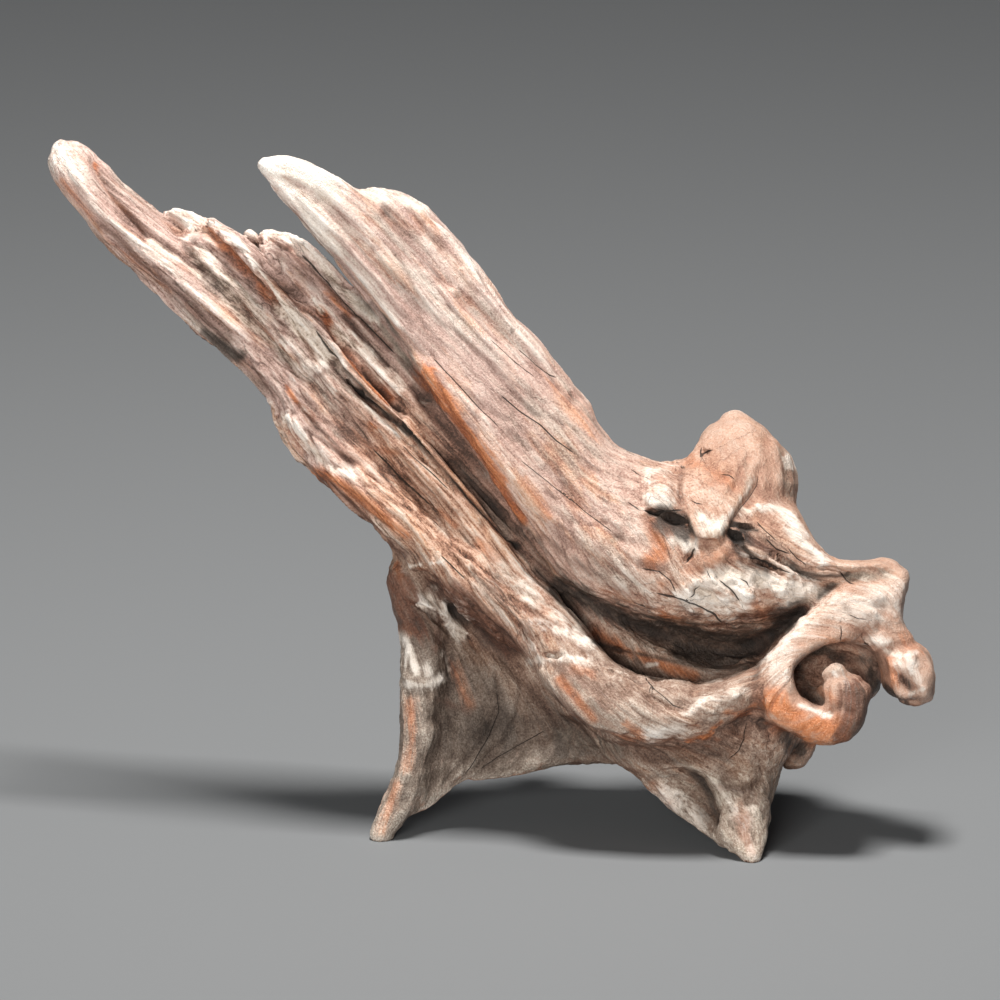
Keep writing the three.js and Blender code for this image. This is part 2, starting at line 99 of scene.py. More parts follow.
# The limbs, in the order in which they are fused. A limb is (blend, rows), where blend is how
# softly it runs into the limbs before it, in millimetres. A row is one section:
# [x and y of its lower edge, x and y of its upper edge, depth of its middle, how far it bulges to
# the front and to the back]. The sections and their order along the limb are those of the CAD.
LOWER_LIMB = {
    "backing": (3, [
        [196, 244, 222, 230, 8, 3, 5],
        [208, 264, 256, 242, 8, 5, 7],
        [238, 304, 298, 268, 7, 7, 11],
        [276, 348, 340, 302, 7, 8, 14],
        [318, 396, 380, 344, 6, 9, 17],
        [358, 444, 416, 390, 6, 10, 20],
        [400, 494, 452, 436, 6, 11, 23],
        [450, 548, 500, 488, 7, 12, 27],
        [510, 610, 560, 540, 8, 12, 30],
    ]),
    "panel": (3, [
        [202, 262, 234, 238, 3, 3, 6],
        [238, 304, 286, 276, 1, 6, 8],
        [280, 352, 332, 318, -2, 8.5, 10],
        [326, 406, 370, 368, -4, 10, 12],
        [376, 462, 414, 418, -6, 10.5, 14],
        [432, 520, 464, 474, -7, 10.5, 16],
        [496, 588, 520, 552, -6, 9, 16],
    ]),
    "finger": (5, [
        [50, 149, 61, 139, 14, 2.5, 2.5],
        [47, 164, 80, 143, 14, 6.5, 6.5],
        [57, 186, 101, 160, 13, 8, 8],
        [80, 216, 124, 184, 12, 8.5, 8.5],
        [112, 254, 160, 213, 10, 9, 9.5],
        [150, 288, 194, 248, 8, 10, 10.5],
        [190, 327, 234, 288, 6, 11, 12],
        [232, 363, 278, 330, 4, 12, 14],
        [266, 397, 320, 376, 2, 14, 16],
        [285, 438, 362, 424, 0, 16, 18],
        [321, 481, 402, 468, -2, 17, 20],
        [362, 517, 446, 514, -4, 18, 23],
        [400, 555, 492, 556, -6, 18, 26],
        [450, 600, 545, 600, -8, 17, 28],
        [500, 640, 590, 640, -6, 14, 28],
    ]),
    "splinter": (2, [
        [164, 217, 178, 207, 11, 2, 2],
        [168, 228, 203, 217, 11, 4, 4],
        [190, 250, 230, 234, 9, 5, 6],
        [230, 290, 264, 268, 7, 6, 8],
        [280, 340, 304, 320, 4, 6, 8],
    ]),
    "second_rib": (3.5, [
        [180, 243, 190, 231, 6, 3, 3],
        [190, 258, 214, 234, 5, 5.5, 6],
        [213, 286, 246, 264, 3, 7.5, 9],
        [250, 324, 286, 304, 0, 9.5, 12],
        [300, 373, 334, 352, -3, 11, 14],
        [350, 424, 378, 402, -6, 12, 15],
        [400, 476, 426, 454, -8, 12, 16],
        [450, 528, 476, 506, -9, 12, 16],
        [502, 582, 530, 562, -8, 10, 14],
    ]),
    "third_rib": (3, [
        [203, 226, 216, 218, 3, 2.5, 3],
        [222, 246, 241, 235, 0, 5.5, 7],
        [248, 274, 268, 260, -3, 8, 10],
        [286, 312, 306, 299, -5, 10, 12],
        [326, 352, 342, 339, -7, 11.5, 13],
        [362, 392, 374, 380, -9, 12, 14],
        [404, 436, 416, 424, -10, 12, 14],
        [450, 486, 462, 476, -11, 10, 14],
        [500, 546, 514, 538, -10, 8, 12],
    ]),
    "middle_rib": (2, [
        [258, 240, 272, 228, 0, 2, 3],
        [266, 256, 294, 237, -2, 5, 7],
        [287, 284, 324, 265, -3, 8, 11],
        [314, 320, 358, 296, -4, 10, 14],
        [348, 360, 396, 338, -5, 12, 16],
        [388, 402, 426, 384, -6, 13, 18],
        [424, 442, 460, 428, -6, 13, 20],
        [464, 482, 496, 474, -5, 12, 20],
        [508, 528, 534, 520, -4, 10, 20],
        [550, 580, 582, 570, 0, 8, 18],
    ]),
    "bud": (1, [
        [243, 235, 245, 231, 4, 1.4, 1.4],
        [244, 238, 250, 229, 4, 2.4, 2.4],
        [249, 241, 257, 233, 4, 2.2, 2.4],
        [254, 246, 262, 240, 4, 1.4, 2.4],
    ]),
}

UPPER_BLADE = {
    "plate": (0, [
        [322, 236, 424, 214, -15, 5, 8],
        [358, 282, 468, 262, -12, 8.5, 11],
        [402, 340, 508, 316, -10, 12, 14],
        [448, 402, 550, 360, -9, 16, 17],
        [496, 466, 592, 420, -8, 20, 21],
        [548, 530, 636, 472, -7, 23, 25],
        [600, 582, 690, 520, -6, 26, 28],
    ]),
    "left_lobe": (3, [
        [259, 168, 265, 159, -26, 2, 2.2],
        [266, 178, 292, 158, -25, 4, 4.5],
        [280, 197, 334, 175, -23, 6, 7],
        [305, 227, 376, 204, -20, 8.5, 9],
        [337, 265, 412, 240, -17, 10, 11],
        [372, 310, 450, 286, -14, 12, 13],
        [408, 357, 492, 332, -12, 14, 16],
        [446, 408, 540, 384, -11, 16, 18],
        [486, 460, 584, 440, -10, 18, 22],
        [532, 522, 626, 502, -8, 20, 26],
        [582, 586, 674, 572, -6, 22, 30],
    ]),
    "right_lobe": (5, [
        [366, 195, 375, 187, -18, 2.5, 3],
        [370, 212, 410, 196, -17, 5.5, 6],
        [392, 240, 446, 227, -15, 8, 9],
        [416, 276, 479, 269, -13, 10, 11],
        [444, 324, 510, 313, -11, 12, 14],
        [480, 376, 549, 356, -10, 14, 16],
        [520, 424, 584, 402, -9, 16, 18],
        [560, 480, 612, 444, -8, 18, 20],
        [600, 520, 650, 463, -6, 20, 24],
        [640, 560, 700, 496, -4, 20, 26],
    ]),
    "valley": (4, [
        [440, 432, 466, 416, 2, 6, 8],
        [470, 480, 500, 462, -2, 6, 10],
        [492, 512, 528, 492, -5, 7, 12],
        [516, 546, 558, 524, -7, 8, 12],
        [542, 580, 592, 556, -4, 9, 12],
        [566, 606, 616, 588, 3, 8, 10],
    ]),
    "edge": (2, [
        [398, 342, 412, 334, -17, 2, 4],
        [408, 358, 430, 346, -19, 4.5, 5],
        [424, 382, 456, 370, -20, 8, 7],
        [452, 420, 490, 406, -19, 10, 9],
        [484, 462, 524, 448, -18, 11, 11],
        [516, 502, 558, 490, -17, 11, 12],
        [546, 545, 590, 530, -15, 10, 12],
    ]),
}

BURL = {
    "heart": (0, [
        [440, 560, 520, 480, 8, 10, 22],
        [500, 636, 600, 500, 12, 14, 30],
        [556, 712, 680, 500, 13, 18, 34],
        [612, 756, 740, 516, 13, 19, 36],
        [694, 766, 790, 556, 13, 20, 36],
        [764, 752, 826, 600, 11, 20, 32],
        [800, 722, 836, 640, 8, 18, 24],
    ]),
    "belly": (5, [
        [566, 716, 604, 660, 3, 10, 20],
        [598, 750, 640, 680, -3, 15, 24],
        [642, 768, 690, 690, -8, 19, 28],
        [700, 776, 730, 680, -8, 24, 30],
        [764, 768, 770, 680, -6, 22, 30],
        [792, 744, 800, 680, -2, 16, 26],
    ]),
    "brow": (5, [
        [480, 452, 560, 384, -6, 18, 18],
        [524, 520, 610, 446, -6, 23, 22],
        [560, 574, 662, 468, -6, 28, 26],
        [606, 603, 704, 482, -6, 32, 30],
        [655, 620, 742, 500, -6, 34, 32],
        [706, 627, 792, 522, -6, 32, 34],
        [766, 622, 826, 562, -6, 24, 30],
        [800, 612, 850, 590, -6, 16, 22],
    ]),
    "lip": (2.5, [
        [444, 566, 500, 540, -6, 12, 14],
        [480, 604, 545, 584, -10, 13, 16],
        [520, 652, 580, 626, -16, 14, 18],
        [546, 690, 608, 656, -22, 14, 24],
        [586, 722, 640, 674, -26, 15, 28],
        [638, 741, 672, 679, -28, 15, 30],
        [694, 742, 704, 682, -28, 15, 30],
        [732, 724, 732, 674, -28, 14, 28],
        [766, 702, 756, 656, -26, 12, 26],
    ]),
    "low_spine": (8, [
        [292, 342, 318, 322, 14, 8, 5],
        [352, 420, 392, 392, 20, 10, 8],
        [424, 502, 470, 468, 26, 12, 11],
        [500, 588, 548, 550, 32, 14, 13],
        [574, 668, 622, 628, 38, 14, 13],
        [636, 730, 684, 690, 45, 14, 12],
        [680, 770, 722, 738, 54, 12, 10],
    ]),
    "high_spine": (8, [
        [470, 376, 506, 352, 2, 8, 8],
        [528, 448, 574, 418, 13, 10, 10],
        [592, 522, 644, 488, 26, 12, 11],
        [650, 592, 706, 562, 36, 14, 12],
        [688, 658, 744, 644, 43, 14, 12],
        [700, 720, 746, 716, 52, 12, 9],
    ]),
    "saddle": (5, [
        [640, 500, 643, 463, -6, 12, 14],
        [662, 505, 663, 463, -5, 13, 16],
        [690, 505, 690, 459, -2, 14, 18],
    ]),
    "stub": (5, [
        [500, 560, 574, 548, 36, 6, 6],
        [504, 576, 576, 564, 46, 10, 10],
        [512, 590, 572, 580, 50, 10, 11],
        [520, 602, 562, 596, 48, 8, 8],
    ]),
}

CROWN = {
    "knuckle": (5, [
        [722, 419, 741, 413, 2, 5, 4],
        [706, 431, 766, 429, 3, 15, 12],
        [696, 452, 790, 452, 3, 23, 20],
        [686, 480, 796, 480, 3, 29, 25],
        [680, 510, 797, 512, 3, 31, 28],
        [676, 545, 814, 545, 4, 30, 32],
        [676, 590, 824, 590, 5, 27, 34],
    ]),
    "tongue": (4, [
        [702, 440, 746, 440, -2, 8, 8],
        [690, 458, 756, 456, -8, 11, 10],
        [682, 478, 758, 476, -14, 13, 12],
        [679, 498, 750, 500, -20, 14, 14],
        [679, 514, 740, 516, -25, 14, 14],
        [681, 527, 731, 529, -29, 13, 14],
        [690, 536, 722, 537, -33, 10, 12],
    ]),
    "shoulder": (3, [
        [732, 526, 748, 505, -17, 8, 18],
        [752, 542, 792, 506, -17, 13, 20],
        [776, 560, 814, 540, -18, 14, 20],
        [806, 578, 838, 559, -18, 13, 18],
        [846, 586, 880, 561, -16, 11, 16],
        [876, 590, 904, 572, -14, 8, 14],
    ]),
}

ROOT_LOOP = {
    "eye_floor": (5, [
        [760, 640, 850, 590, 0, 10, 22],
        [770, 700, 886, 632, 0, 12, 20],
        [784, 730, 888, 676, 0, 10, 16],
        [800, 738, 858, 712, 0, 7, 14],
    ]),
    "bend": (5, [
        [880, 563, 897, 566, -14, 4, 5],
        [866, 576, 908, 579, -15, 10, 12],
        [850, 592, 904, 600, -16, 13, 16],
        [838, 614, 901, 620, -17, 13, 18],
        [842, 634, 912, 638, -17, 12, 18],
        [868, 650, 928, 656, -18, 12, 16],
        [880, 668, 934, 674, -20, 13, 14],
        [882, 684, 933, 689, -20, 12, 12],
        [888, 694, 930, 699, -20, 9, 9],
        [897, 699, 922, 702, -20, 4, 4],
    ]),
    "curl": (3, [
        [838, 584, 886, 600, -21, 11, 14],
        [814, 602, 866, 636, -23, 11, 14],
        [789, 626, 832, 643, -26, 10.5, 14],
        [767, 649, 806, 655, -28, 10, 14],
        [755, 680, 791, 670, -31, 10, 13],
        [757, 716, 796, 691, -32, 10, 12],
        [784, 730, 806, 700, -32, 10, 11],
        [816, 743, 818, 704, -32, 10.5, 11],
        [846, 740, 822, 703, -32, 11, 11],
        [862, 722, 822, 697, -32, 12, 11],
        [867, 702, 820, 688, -31, 12, 11],
        [868, 688, 822, 680, -30, 11, 10],
        [860, 678, 832, 675, -29, 8, 9],
    ]),
    "bead": (2.5, [
        [820, 677, 824, 665, -33, 4, 6],
        [829, 679, 833, 661, -34, 5, 8],
        [838, 679, 841, 663, -34, 5, 8],
        [845, 678, 846, 669, -33, 3, 6],
    ]),
    "lobe": (3, [
        [778, 728, 812, 728, 6, 10, 14],
        [780, 750, 818, 746, 7, 9, 12],
        [784, 764, 808, 764, 8, 6, 8],
    ]),
}

LEFT_FIN = {
    "shin": (5, [
        [394, 556, 446, 552, -2, 8, 16],
        [387, 574, 448, 574, -2, 9, 16],
        [392, 600, 448, 600, -2, 9, 15],
        [401, 630, 446, 630, -2, 9, 14],
        [402, 670, 442, 670, -3, 8, 13],
        [402, 712, 438, 712, -4, 7, 12],
        [400, 752, 430, 758, -4, 6.5, 11],
        [389, 790, 420, 797, -4, 6, 10],
        [377, 815, 405, 822, -4, 5.5, 8.5],
        [370, 832, 396, 834, -4, 5.5, 7.5],
        [372, 842, 394, 842, -4, 5, 6.5],
    ]),
    "web": (6, [
        [402, 806, 416, 570, 0, 3, 7],
        [426, 810, 446, 556, 2, 4, 9],
        [464, 784, 500, 590, 6, 5, 11],
        [516, 777, 560, 630, 9, 6, 13],
        [572, 766, 610, 640, 10, 8, 15],
        [630, 764, 670, 650, 10, 9, 16],
    ]),
}

FEET = {
    "front_foot": (8, [
        [606, 740, 792, 736, -8, 22, 30],
        [640, 778, 778, 774, -11, 20, 22],
        [680, 816, 771, 806, -18, 15, 15],
        [716, 842, 767, 834, -26, 10, 10],
        [738, 856, 762, 850, -31, 7, 7],
        [744, 866, 758, 862, -33, 5, 6],
    ]),
    "rear_foot": (8, [
        [640, 620, 764, 620, 24, 20, 22],
        [662, 668, 758, 668, 38, 18, 20],
        [686, 715, 748, 715, 54, 14, 16],
        [700, 752, 740, 752, 68, 10, 11],
        [705, 780, 735, 780, 78, 8, 8],
        [706, 800, 734, 800, 84, 7, 7],
    ]),
}

# What is carved out of the fused limbs.
HOLLOWS = {
    "throat": (3, [
        [528, 572, 534, 562, -30, 16, 12],
        [560, 596, 568, 582, -30, 20, 20],
        [610, 628, 620, 606, -30, 24, 28],
        [664, 655, 672, 621, -28, 26, 32],
        [716, 674, 722, 628, -26, 28, 34],
        [756, 662, 760, 626, -26, 28, 32],
        [784, 636, 792, 616, -26, 28, 22],
    ]),
    "scoop": (1.2, [
        [630, 782, 660, 765, -36, 10, 8],
        [646, 806, 702, 768, -37, 14, 14],
        [672, 830, 718, 788, -39, 14, 18],
        [696, 846, 721, 812, -41, 12, 16],
        [710, 846, 719, 830, -43, 10, 9],
    ]),
    "cleft": (5, [
        [556, 510, 572, 492, 50, 8, 14],
        [592, 572, 628, 538, 52, 16, 16],
        [632, 628, 668, 598, 56, 17, 16],
        [668, 680, 688, 664, 60, 10, 14],
    ]),
    "eye": (1.5, [
        [796, 682, 802, 650, -17, 14, 5],
        [808, 702, 822, 642, -17, 16, 8],
        [832, 676, 846, 648, -17, 16, 10],
        [870, 678, 872, 654, -17, 14, 7],
    ]),
}

# How square the section of a limb is, where it isn't as round as the rest.
SQUARER = {
    "curl": 3.2, "bend": 3.2, "knuckle": 2.6, "tongue": 2.8, "shoulder": 2.8, "left_lobe": 3.2, "right_lobe": 2.6,
    "brow": 2.8, "edge": 2.6}

GROUPS = [BURL, LOWER_LIMB, UPPER_BLADE, CROWN, ROOT_LOOP, LEFT_FIN, FEET]
ROUNDNESS = 2.2  # the power of the superellipse of a limb's section


def smooth_rows(rows, t):
    """Rows at the parameters t, on the uniform Catmull-Rom curve through the given rows.

    Between two rows the curve is the cubic whose slope at each row is half of the step from the
    row before it to the row after it.
    """
    first = 2 * rows[0] - rows[1]
    last = 2 * rows[-1] - rows[-2]
    held = np.vstack([first, rows, last])
    where = t * (len(rows) - 1)
    index = np.minimum(where.astype(int), len(rows) - 2)
    f = (where - index)[:, None]
    before, start, end, after = (held[index + k] for k in range(4))
    slope_start = (end - before) / 2
    slope_end = (after - start) / 2
    a = 2 * start - 2 * end + slope_start + slope_end
    b = -3 * start + 3 * end - 2 * slope_start - slope_end
    return ((a * f + b) * f + slope_start) * f + start


def limb_skin(rows, power=ROUNDNESS):
    """One limb as rings of points, and the direction of the grain at each point.

    A section lies between its two edge points a and b. At the angle u its point is
    middle + (b - a) / 2 * c(u) across, and s(u) times the front or the back bulge along the depth,
    where c and s are the cosine and sine raised to 2 / power. A small dome closes each end.
    """
    rows = np.array(rows, float)
    middles = np.c_[(rows[:, 0:2] + rows[:, 2:4]) / 2 * STEP, rows[:, 4]]
    length = np.linalg.norm(np.diff(middles, axis=0), axis=1).sum()
    girth = (np.linalg.norm(rows[:, 2:4] - rows[:, 0:2], axis=1) * STEP + rows[:, 5] + rows[:, 6]).max()
    rings = int(length / (2.2 * VOXEL)) + 2 * len(rows)
    sides = 4 * int(girth / (2.4 * VOXEL) / 2) + 16

    at = smooth_rows(rows, np.linspace(0, 1, rings))
    angle = np.linspace(0, 2 * np.pi, sides, endpoint=False)[None, :]
    bend = lambda value: np.sign(value) * np.abs(value) ** (2 / power)
    share = (1 + bend(np.cos(angle))) / 2
    out = bend(np.sin(angle))
    x = at[:, 0:1] + (at[:, 2:3] - at[:, 0:1]) * share
    y = at[:, 1:2] + (at[:, 3:4] - at[:, 1:2]) * share
    depth = at[:, 4:5] - np.where(out > 0, out * at[:, 5:6], out * at[:, 6:7])
    points = place(x, y, depth)
    return dome(dome(points)[::-1])[::-1]


def dome(points, steps=4, height=0.45):
    """Rings with a dome added past the last one: ring k shrinks by cos and moves out by sin."""
    last = points[-1]
    centre = last.mean(axis=0)
    out = centre - points[-2].mean(axis=0)
    out /= np.linalg.norm(out) + 1e-9
    radius = np.linalg.norm(last - centre, axis=1).min()
    angle = np.linspace(0, np.pi / 2, steps + 1)[1:, None, None]
    added = centre + (last - centre) * np.cos(angle) + out * radius * height * np.sin(angle)
    return np.concatenate([points, added])


def ring_quads(rings, sides):
    """Quads between neighbouring rings of a skin whose first and last rings are single points."""
    ring, side = np.meshgrid(np.arange(rings - 1), np.arange(sides), indexing="ij")
    following = (side + 1) % sides
    corners = [ring * sides + side, ring * sides + following,
               (ring + 1) * sides + following, (ring + 1) * sides + side]
    return np.stack(corners, axis=-1).reshape(-1, 4)


class Block:
    """Distances to a surface on a box of voxels, negative inside it."""

    def __init__(self, low, high):
        self.first = np.floor(np.array(low) / VOXEL).astype(int)
        self.shape = np.ceil(np.array(high) / VOXEL).astype(int) - self.first + 1
        self.values = np.full(self.shape, REACH, np.float32)

    def window(self, points):
        """The part of the block that can feel a surface through the given points."""
        low = np.floor((points.min(axis=0) - REACH) / VOXEL).astype(int)
        high = np.ceil((points.max(axis=0) + REACH) / VOXEL).astype(int)
        start = np.clip(low - self.first, 0, self.shape)
        stop = np.clip(high - self.first + 1, 0, self.shape)
        return start, tuple(slice(a, b) for a, b in zip(start, stop))

    def distances(self, points):
        """The distances to one limb, in its window of the block."""
        rings, sides = points.shape[:2]
        flat = points.reshape(-1, 3)
        start, window = self.window(flat)
        band = REACH / VOXEL
        grid = openvdb.FloatGrid.createLevelSetFromPolygons(
            flat.astype(np.float32),
            quads=ring_quads(rings, sides).astype(np.uint32),
            transform=openvdb.createLinearTransform(VOXEL),
            halfWidth=band,
        )
        found = np.empty(self.values[window].shape, np.float32)
        grid.copyToArray(found, ijk=tuple(int(v) for v in self.first + start))
        return window, found

    def fuse(self, points, blend):
        """Adds a limb. The smooth least of two distances a and b is the lesser one, less
        h * h * blend / 4, where h is how near they are to each other as a share of blend."""
        window, limb = self.distances(points)
        held = self.values[window]
        near = np.clip(1 - np.abs(held - limb) / max(blend, 1e-3), 0, 1)
        self.values[window] = np.minimum(held, limb) - near * near * (blend / 4)

    def carve(self, points, blend):
        """Takes a hollow out, by the smooth greatest of the distance and the hollow's own
        distance turned inside out."""
        window, hollow = self.distances(points)
        held = self.values[window]
        near = np.clip(1 - np.abs(held + hollow) / max(blend, 1e-3), 0, 1)
        self.values[window] = np.maximum(held, -hollow) + near * near * (blend / 4)

    def skin(self):
        """The surface as points and quads, faces outwards."""
        grid = openvdb.FloatGrid(2.5 * VOXEL)
        grid.transform = openvdb.createLinearTransform(VOXEL)
        clipped = np.clip(self.values, -2.5 * VOXEL, 2.5 * VOXEL)
        grid.copyFromArray(clipped, ijk=tuple(int(v) for v in self.first))
        points, quads = grid.convertToQuads(isovalue=0)
        return points.astype(float), quads.astype(np.int64)

    def front_depth(self, x, y):
        """The depth at which the eye's lines through points of the drawing first meet the wood."""
        depths = np.arange(-75.0, 60.0, 0.5)
        cell = np.round(place(x[:, None], y[:, None], depths) / VOXEL).astype(int) - self.first
        cell = np.clip(cell, 0, self.shape - 1)
        inside = self.values[cell[..., 0], cell[..., 1], cell[..., 2]] < 0
        met = inside.any(axis=1)
        found = depths[inside.argmax(axis=1)]
        return np.where(met, found, found[met].mean())

    def rows_on_front(self, line, half_width, forward, back, least):
        """Rows of a limb that follows a line of the drawing over the front of the wood.

        It is half_width wide to each side and reaches forward and back from the surface, in full at
        its middle and by the share least at its ends, as the sine of its share of the length."""
        line = np.array(line, float)
        steps = np.linalg.norm(np.diff(line, axis=0), axis=1).sum()
        share = np.linspace(0, 1, max(6, int(steps / 7)))
        middle = smooth_rows(line, share)
        run = np.gradient(middle, axis=0)
        run /= np.linalg.norm(run, axis=1, keepdims=True)
        full = (least + (1 - least) * np.sin(np.pi * share))[:, None]
        side = np.c_[-run[:, 1], run[:, 0]] * half_width * full
        depth = self.front_depth(*middle.T)
        for _ in range(3):
            depth = np.convolve(np.pad(depth, 1, mode="edge"), [0.25, 0.5, 0.25], mode="valid")
        return np.c_[middle + side, middle - side, depth, forward * full, back * full]


# Forms that lie on the front of the fused limbs: (half width on the drawing, height in
# millimetres, line on the drawing).
SWELLINGS = [
    (5, 1.6, [(58, 150), (85, 190), (120, 228), (160, 264), (205, 303), (240, 332)]),
    (4, 1.5, [(238, 240), (262, 275), (282, 305), (305, 335), (330, 355), (348, 368)]),
    (5, 1.2, [(285, 233), (305, 244), (325, 262), (345, 285), (362, 305), (380, 326)]),
    (4, 1.4, [(306, 300), (325, 320), (345, 337), (372, 366), (392, 384)]),
    (3, 1.2, [(262, 246), (280, 262), (296, 280), (312, 296)]),
    (5, 1.3, [(292, 446), (312, 462), (335, 474), (360, 488), (388, 512)]),
    (5, 1.2, [(350, 400), (380, 430), (410, 458), (445, 490), (480, 520)]),
    (6, 1.3, [(440, 540), (470, 570), (505, 604), (540, 634)]),
    (15, 4.0, [(657, 472), (657, 486), (656, 502)]),
    (13, 1.2, [(691, 553), (707, 558), (723, 551)]),
    (12, 3.0, [(646, 500), (660, 500), (673, 501)]),
    (13, 2.4, [(898, 660), (905, 663), (912, 668)]),
    (9, 3.0, [(746, 706), (750, 716), (752, 726)]),
    (4, 2.4, [(418, 604), (436, 608), (452, 620), (468, 634)]),
    (6, 2.6, [(392, 572), (404, 578), (420, 590)]),
    (5, 2.2, [(436, 574), (450, 588), (462, 606)]),
    (5, 2.4, [(404, 676), (420, 684), (444, 678)]),
    (4, 2.0, [(470, 590), (488, 610), (510, 632), (526, 652)]),
    (7, 2.0, [(864, 636), (876, 640), (888, 643)]),
    (6, 1.6, [(726, 660), (742, 664), (756, 654)]),
    (14, 1.2, [(840, 604), (858, 614), (872, 628)]),
    (8, 2.6, [(706, 576), (718, 586), (722, 596)]),
    (9, 2.4, [(742, 584), (752, 592), (758, 600)]),
    (10, 2.8, [(768, 580), (778, 588), (786, 598)]),
    (8, 2.2, [(684, 574), (688, 584), (684, 600)]),
    (8, 2.4, [(800, 586), (806, 596), (804, 606)]),
    (7, 2.0, [(742, 556), (752, 552), (764, 552)]),
    (10, 1.6, [(746, 516), (762, 510), (780, 514)]),
    (9, 2.2, [(664, 710), (690, 716), (716, 700), (738, 692)]),
    (8, 1.8, [(540, 668), (560, 690), (590, 716), (622, 730)]),
    (7, 1.5, [(600, 668), (626, 680), (646, 700)]),
    (6, 2.2, [(893, 690), (902, 694), (910, 690)]),
    (6, 1.6, [(918, 684), (920, 690), (916, 696)]),
    (7, 1.8, [(832, 686), (844, 684), (856, 688)]),
    (12, 1.6, [(866, 640), (876, 640), (886, 644)]),
    (7, 1.6, [(404, 586), (420, 604), (440, 610)]),
    (6, 1.8, [(444, 590), (460, 604), (474, 626)]),
    (5, 1.6, [(409, 562), (416, 565), (424, 568)]),
    (4, 1.4, [(430, 560), (434, 563), (440, 566)]),
    (7, 1.4, [(404, 690), (409, 730), (408, 765), (396, 796)]),
    (5, 1.8, [(288, 414), (294, 424), (300, 438)]),
    (4, 1.2, [(368, 424), (373, 426), (378, 428)]),
    (6, 1.6, [(168, 212), (180, 216), (192, 222)]),
    (7, 1.6, [(320, 206), (350, 240), (385, 280), (415, 318)]),
    (8, 1.8, [(392, 232), (430, 272), (462, 312), (500, 356), (540, 400)]),
    (7, 1.4, [(420, 212), (452, 246), (480, 290), (510, 330)]),
    (9, 4.0, [(360, 300), (385, 330), (410, 364)]),
    (10, 7.0, [(402, 352), (428, 390), (455, 424), (480, 458), (506, 500), (525, 530)]),
    (8, 1.2, [(866, 636), (876, 641), (886, 646)]),
]

# What is cut into the front: (half width on the drawing, depth in millimetres, line).
FISSURES = [
    (3.4, 5, [(340, 374), (354, 387), (368, 398), (384, 410), (400, 425), (420, 447)]),
    (2.0, 3, [(731, 525), (744, 526), (757, 527)]),
    (3.6, 3, [(732, 529), (735, 537), (742, 546)]),
    (2.2, 3, [(642, 510), (652, 512), (668, 513)]),
    (4.4, 3.5, [(658, 514), (672, 518), (684, 525)]),
    (2.8, 3.5, [(650, 774), (668, 769), (684, 770), (697, 777), (707, 789), (714, 803), (716, 818)]),
    (2.6, 3, [(402, 601), (414, 603), (432, 614), (446, 630), (458, 642)]),
    (2.4, 3, [(424, 574), (438, 582), (448, 596)]),
    (2.6, 3, [(462, 592), (478, 612), (498, 634), (516, 656)]),
    (2.4, 2.5, [(862, 634), (866, 642), (870, 650)]),
    (2.3, 3, [(728, 542), (744, 550), (760, 562)]),
    (2.3, 4, [(768, 552), (786, 563), (802, 575), (822, 578), (838, 576)]),
    (2.2, 3, [(808, 570), (826, 567), (842, 572), (856, 583)]),
    (2.3, 3, [(742, 557), (765, 564), (785, 573)]),
    (2.2, 1.8, [(681, 464), (680, 486), (681, 512)]),
    (2.4, 2.5, [(692, 545), (690, 554), (681, 563)]),
    (2.4, 3, [(700, 446), (704, 453), (712, 449)]),
    (2.3, 2, [(606, 668), (611, 671), (614, 674)]),
    (2.2, 2, [(590, 642), (612, 648), (636, 653)]),
    (2.4, 3, [(540, 650), (552, 655), (564, 654)]),
]

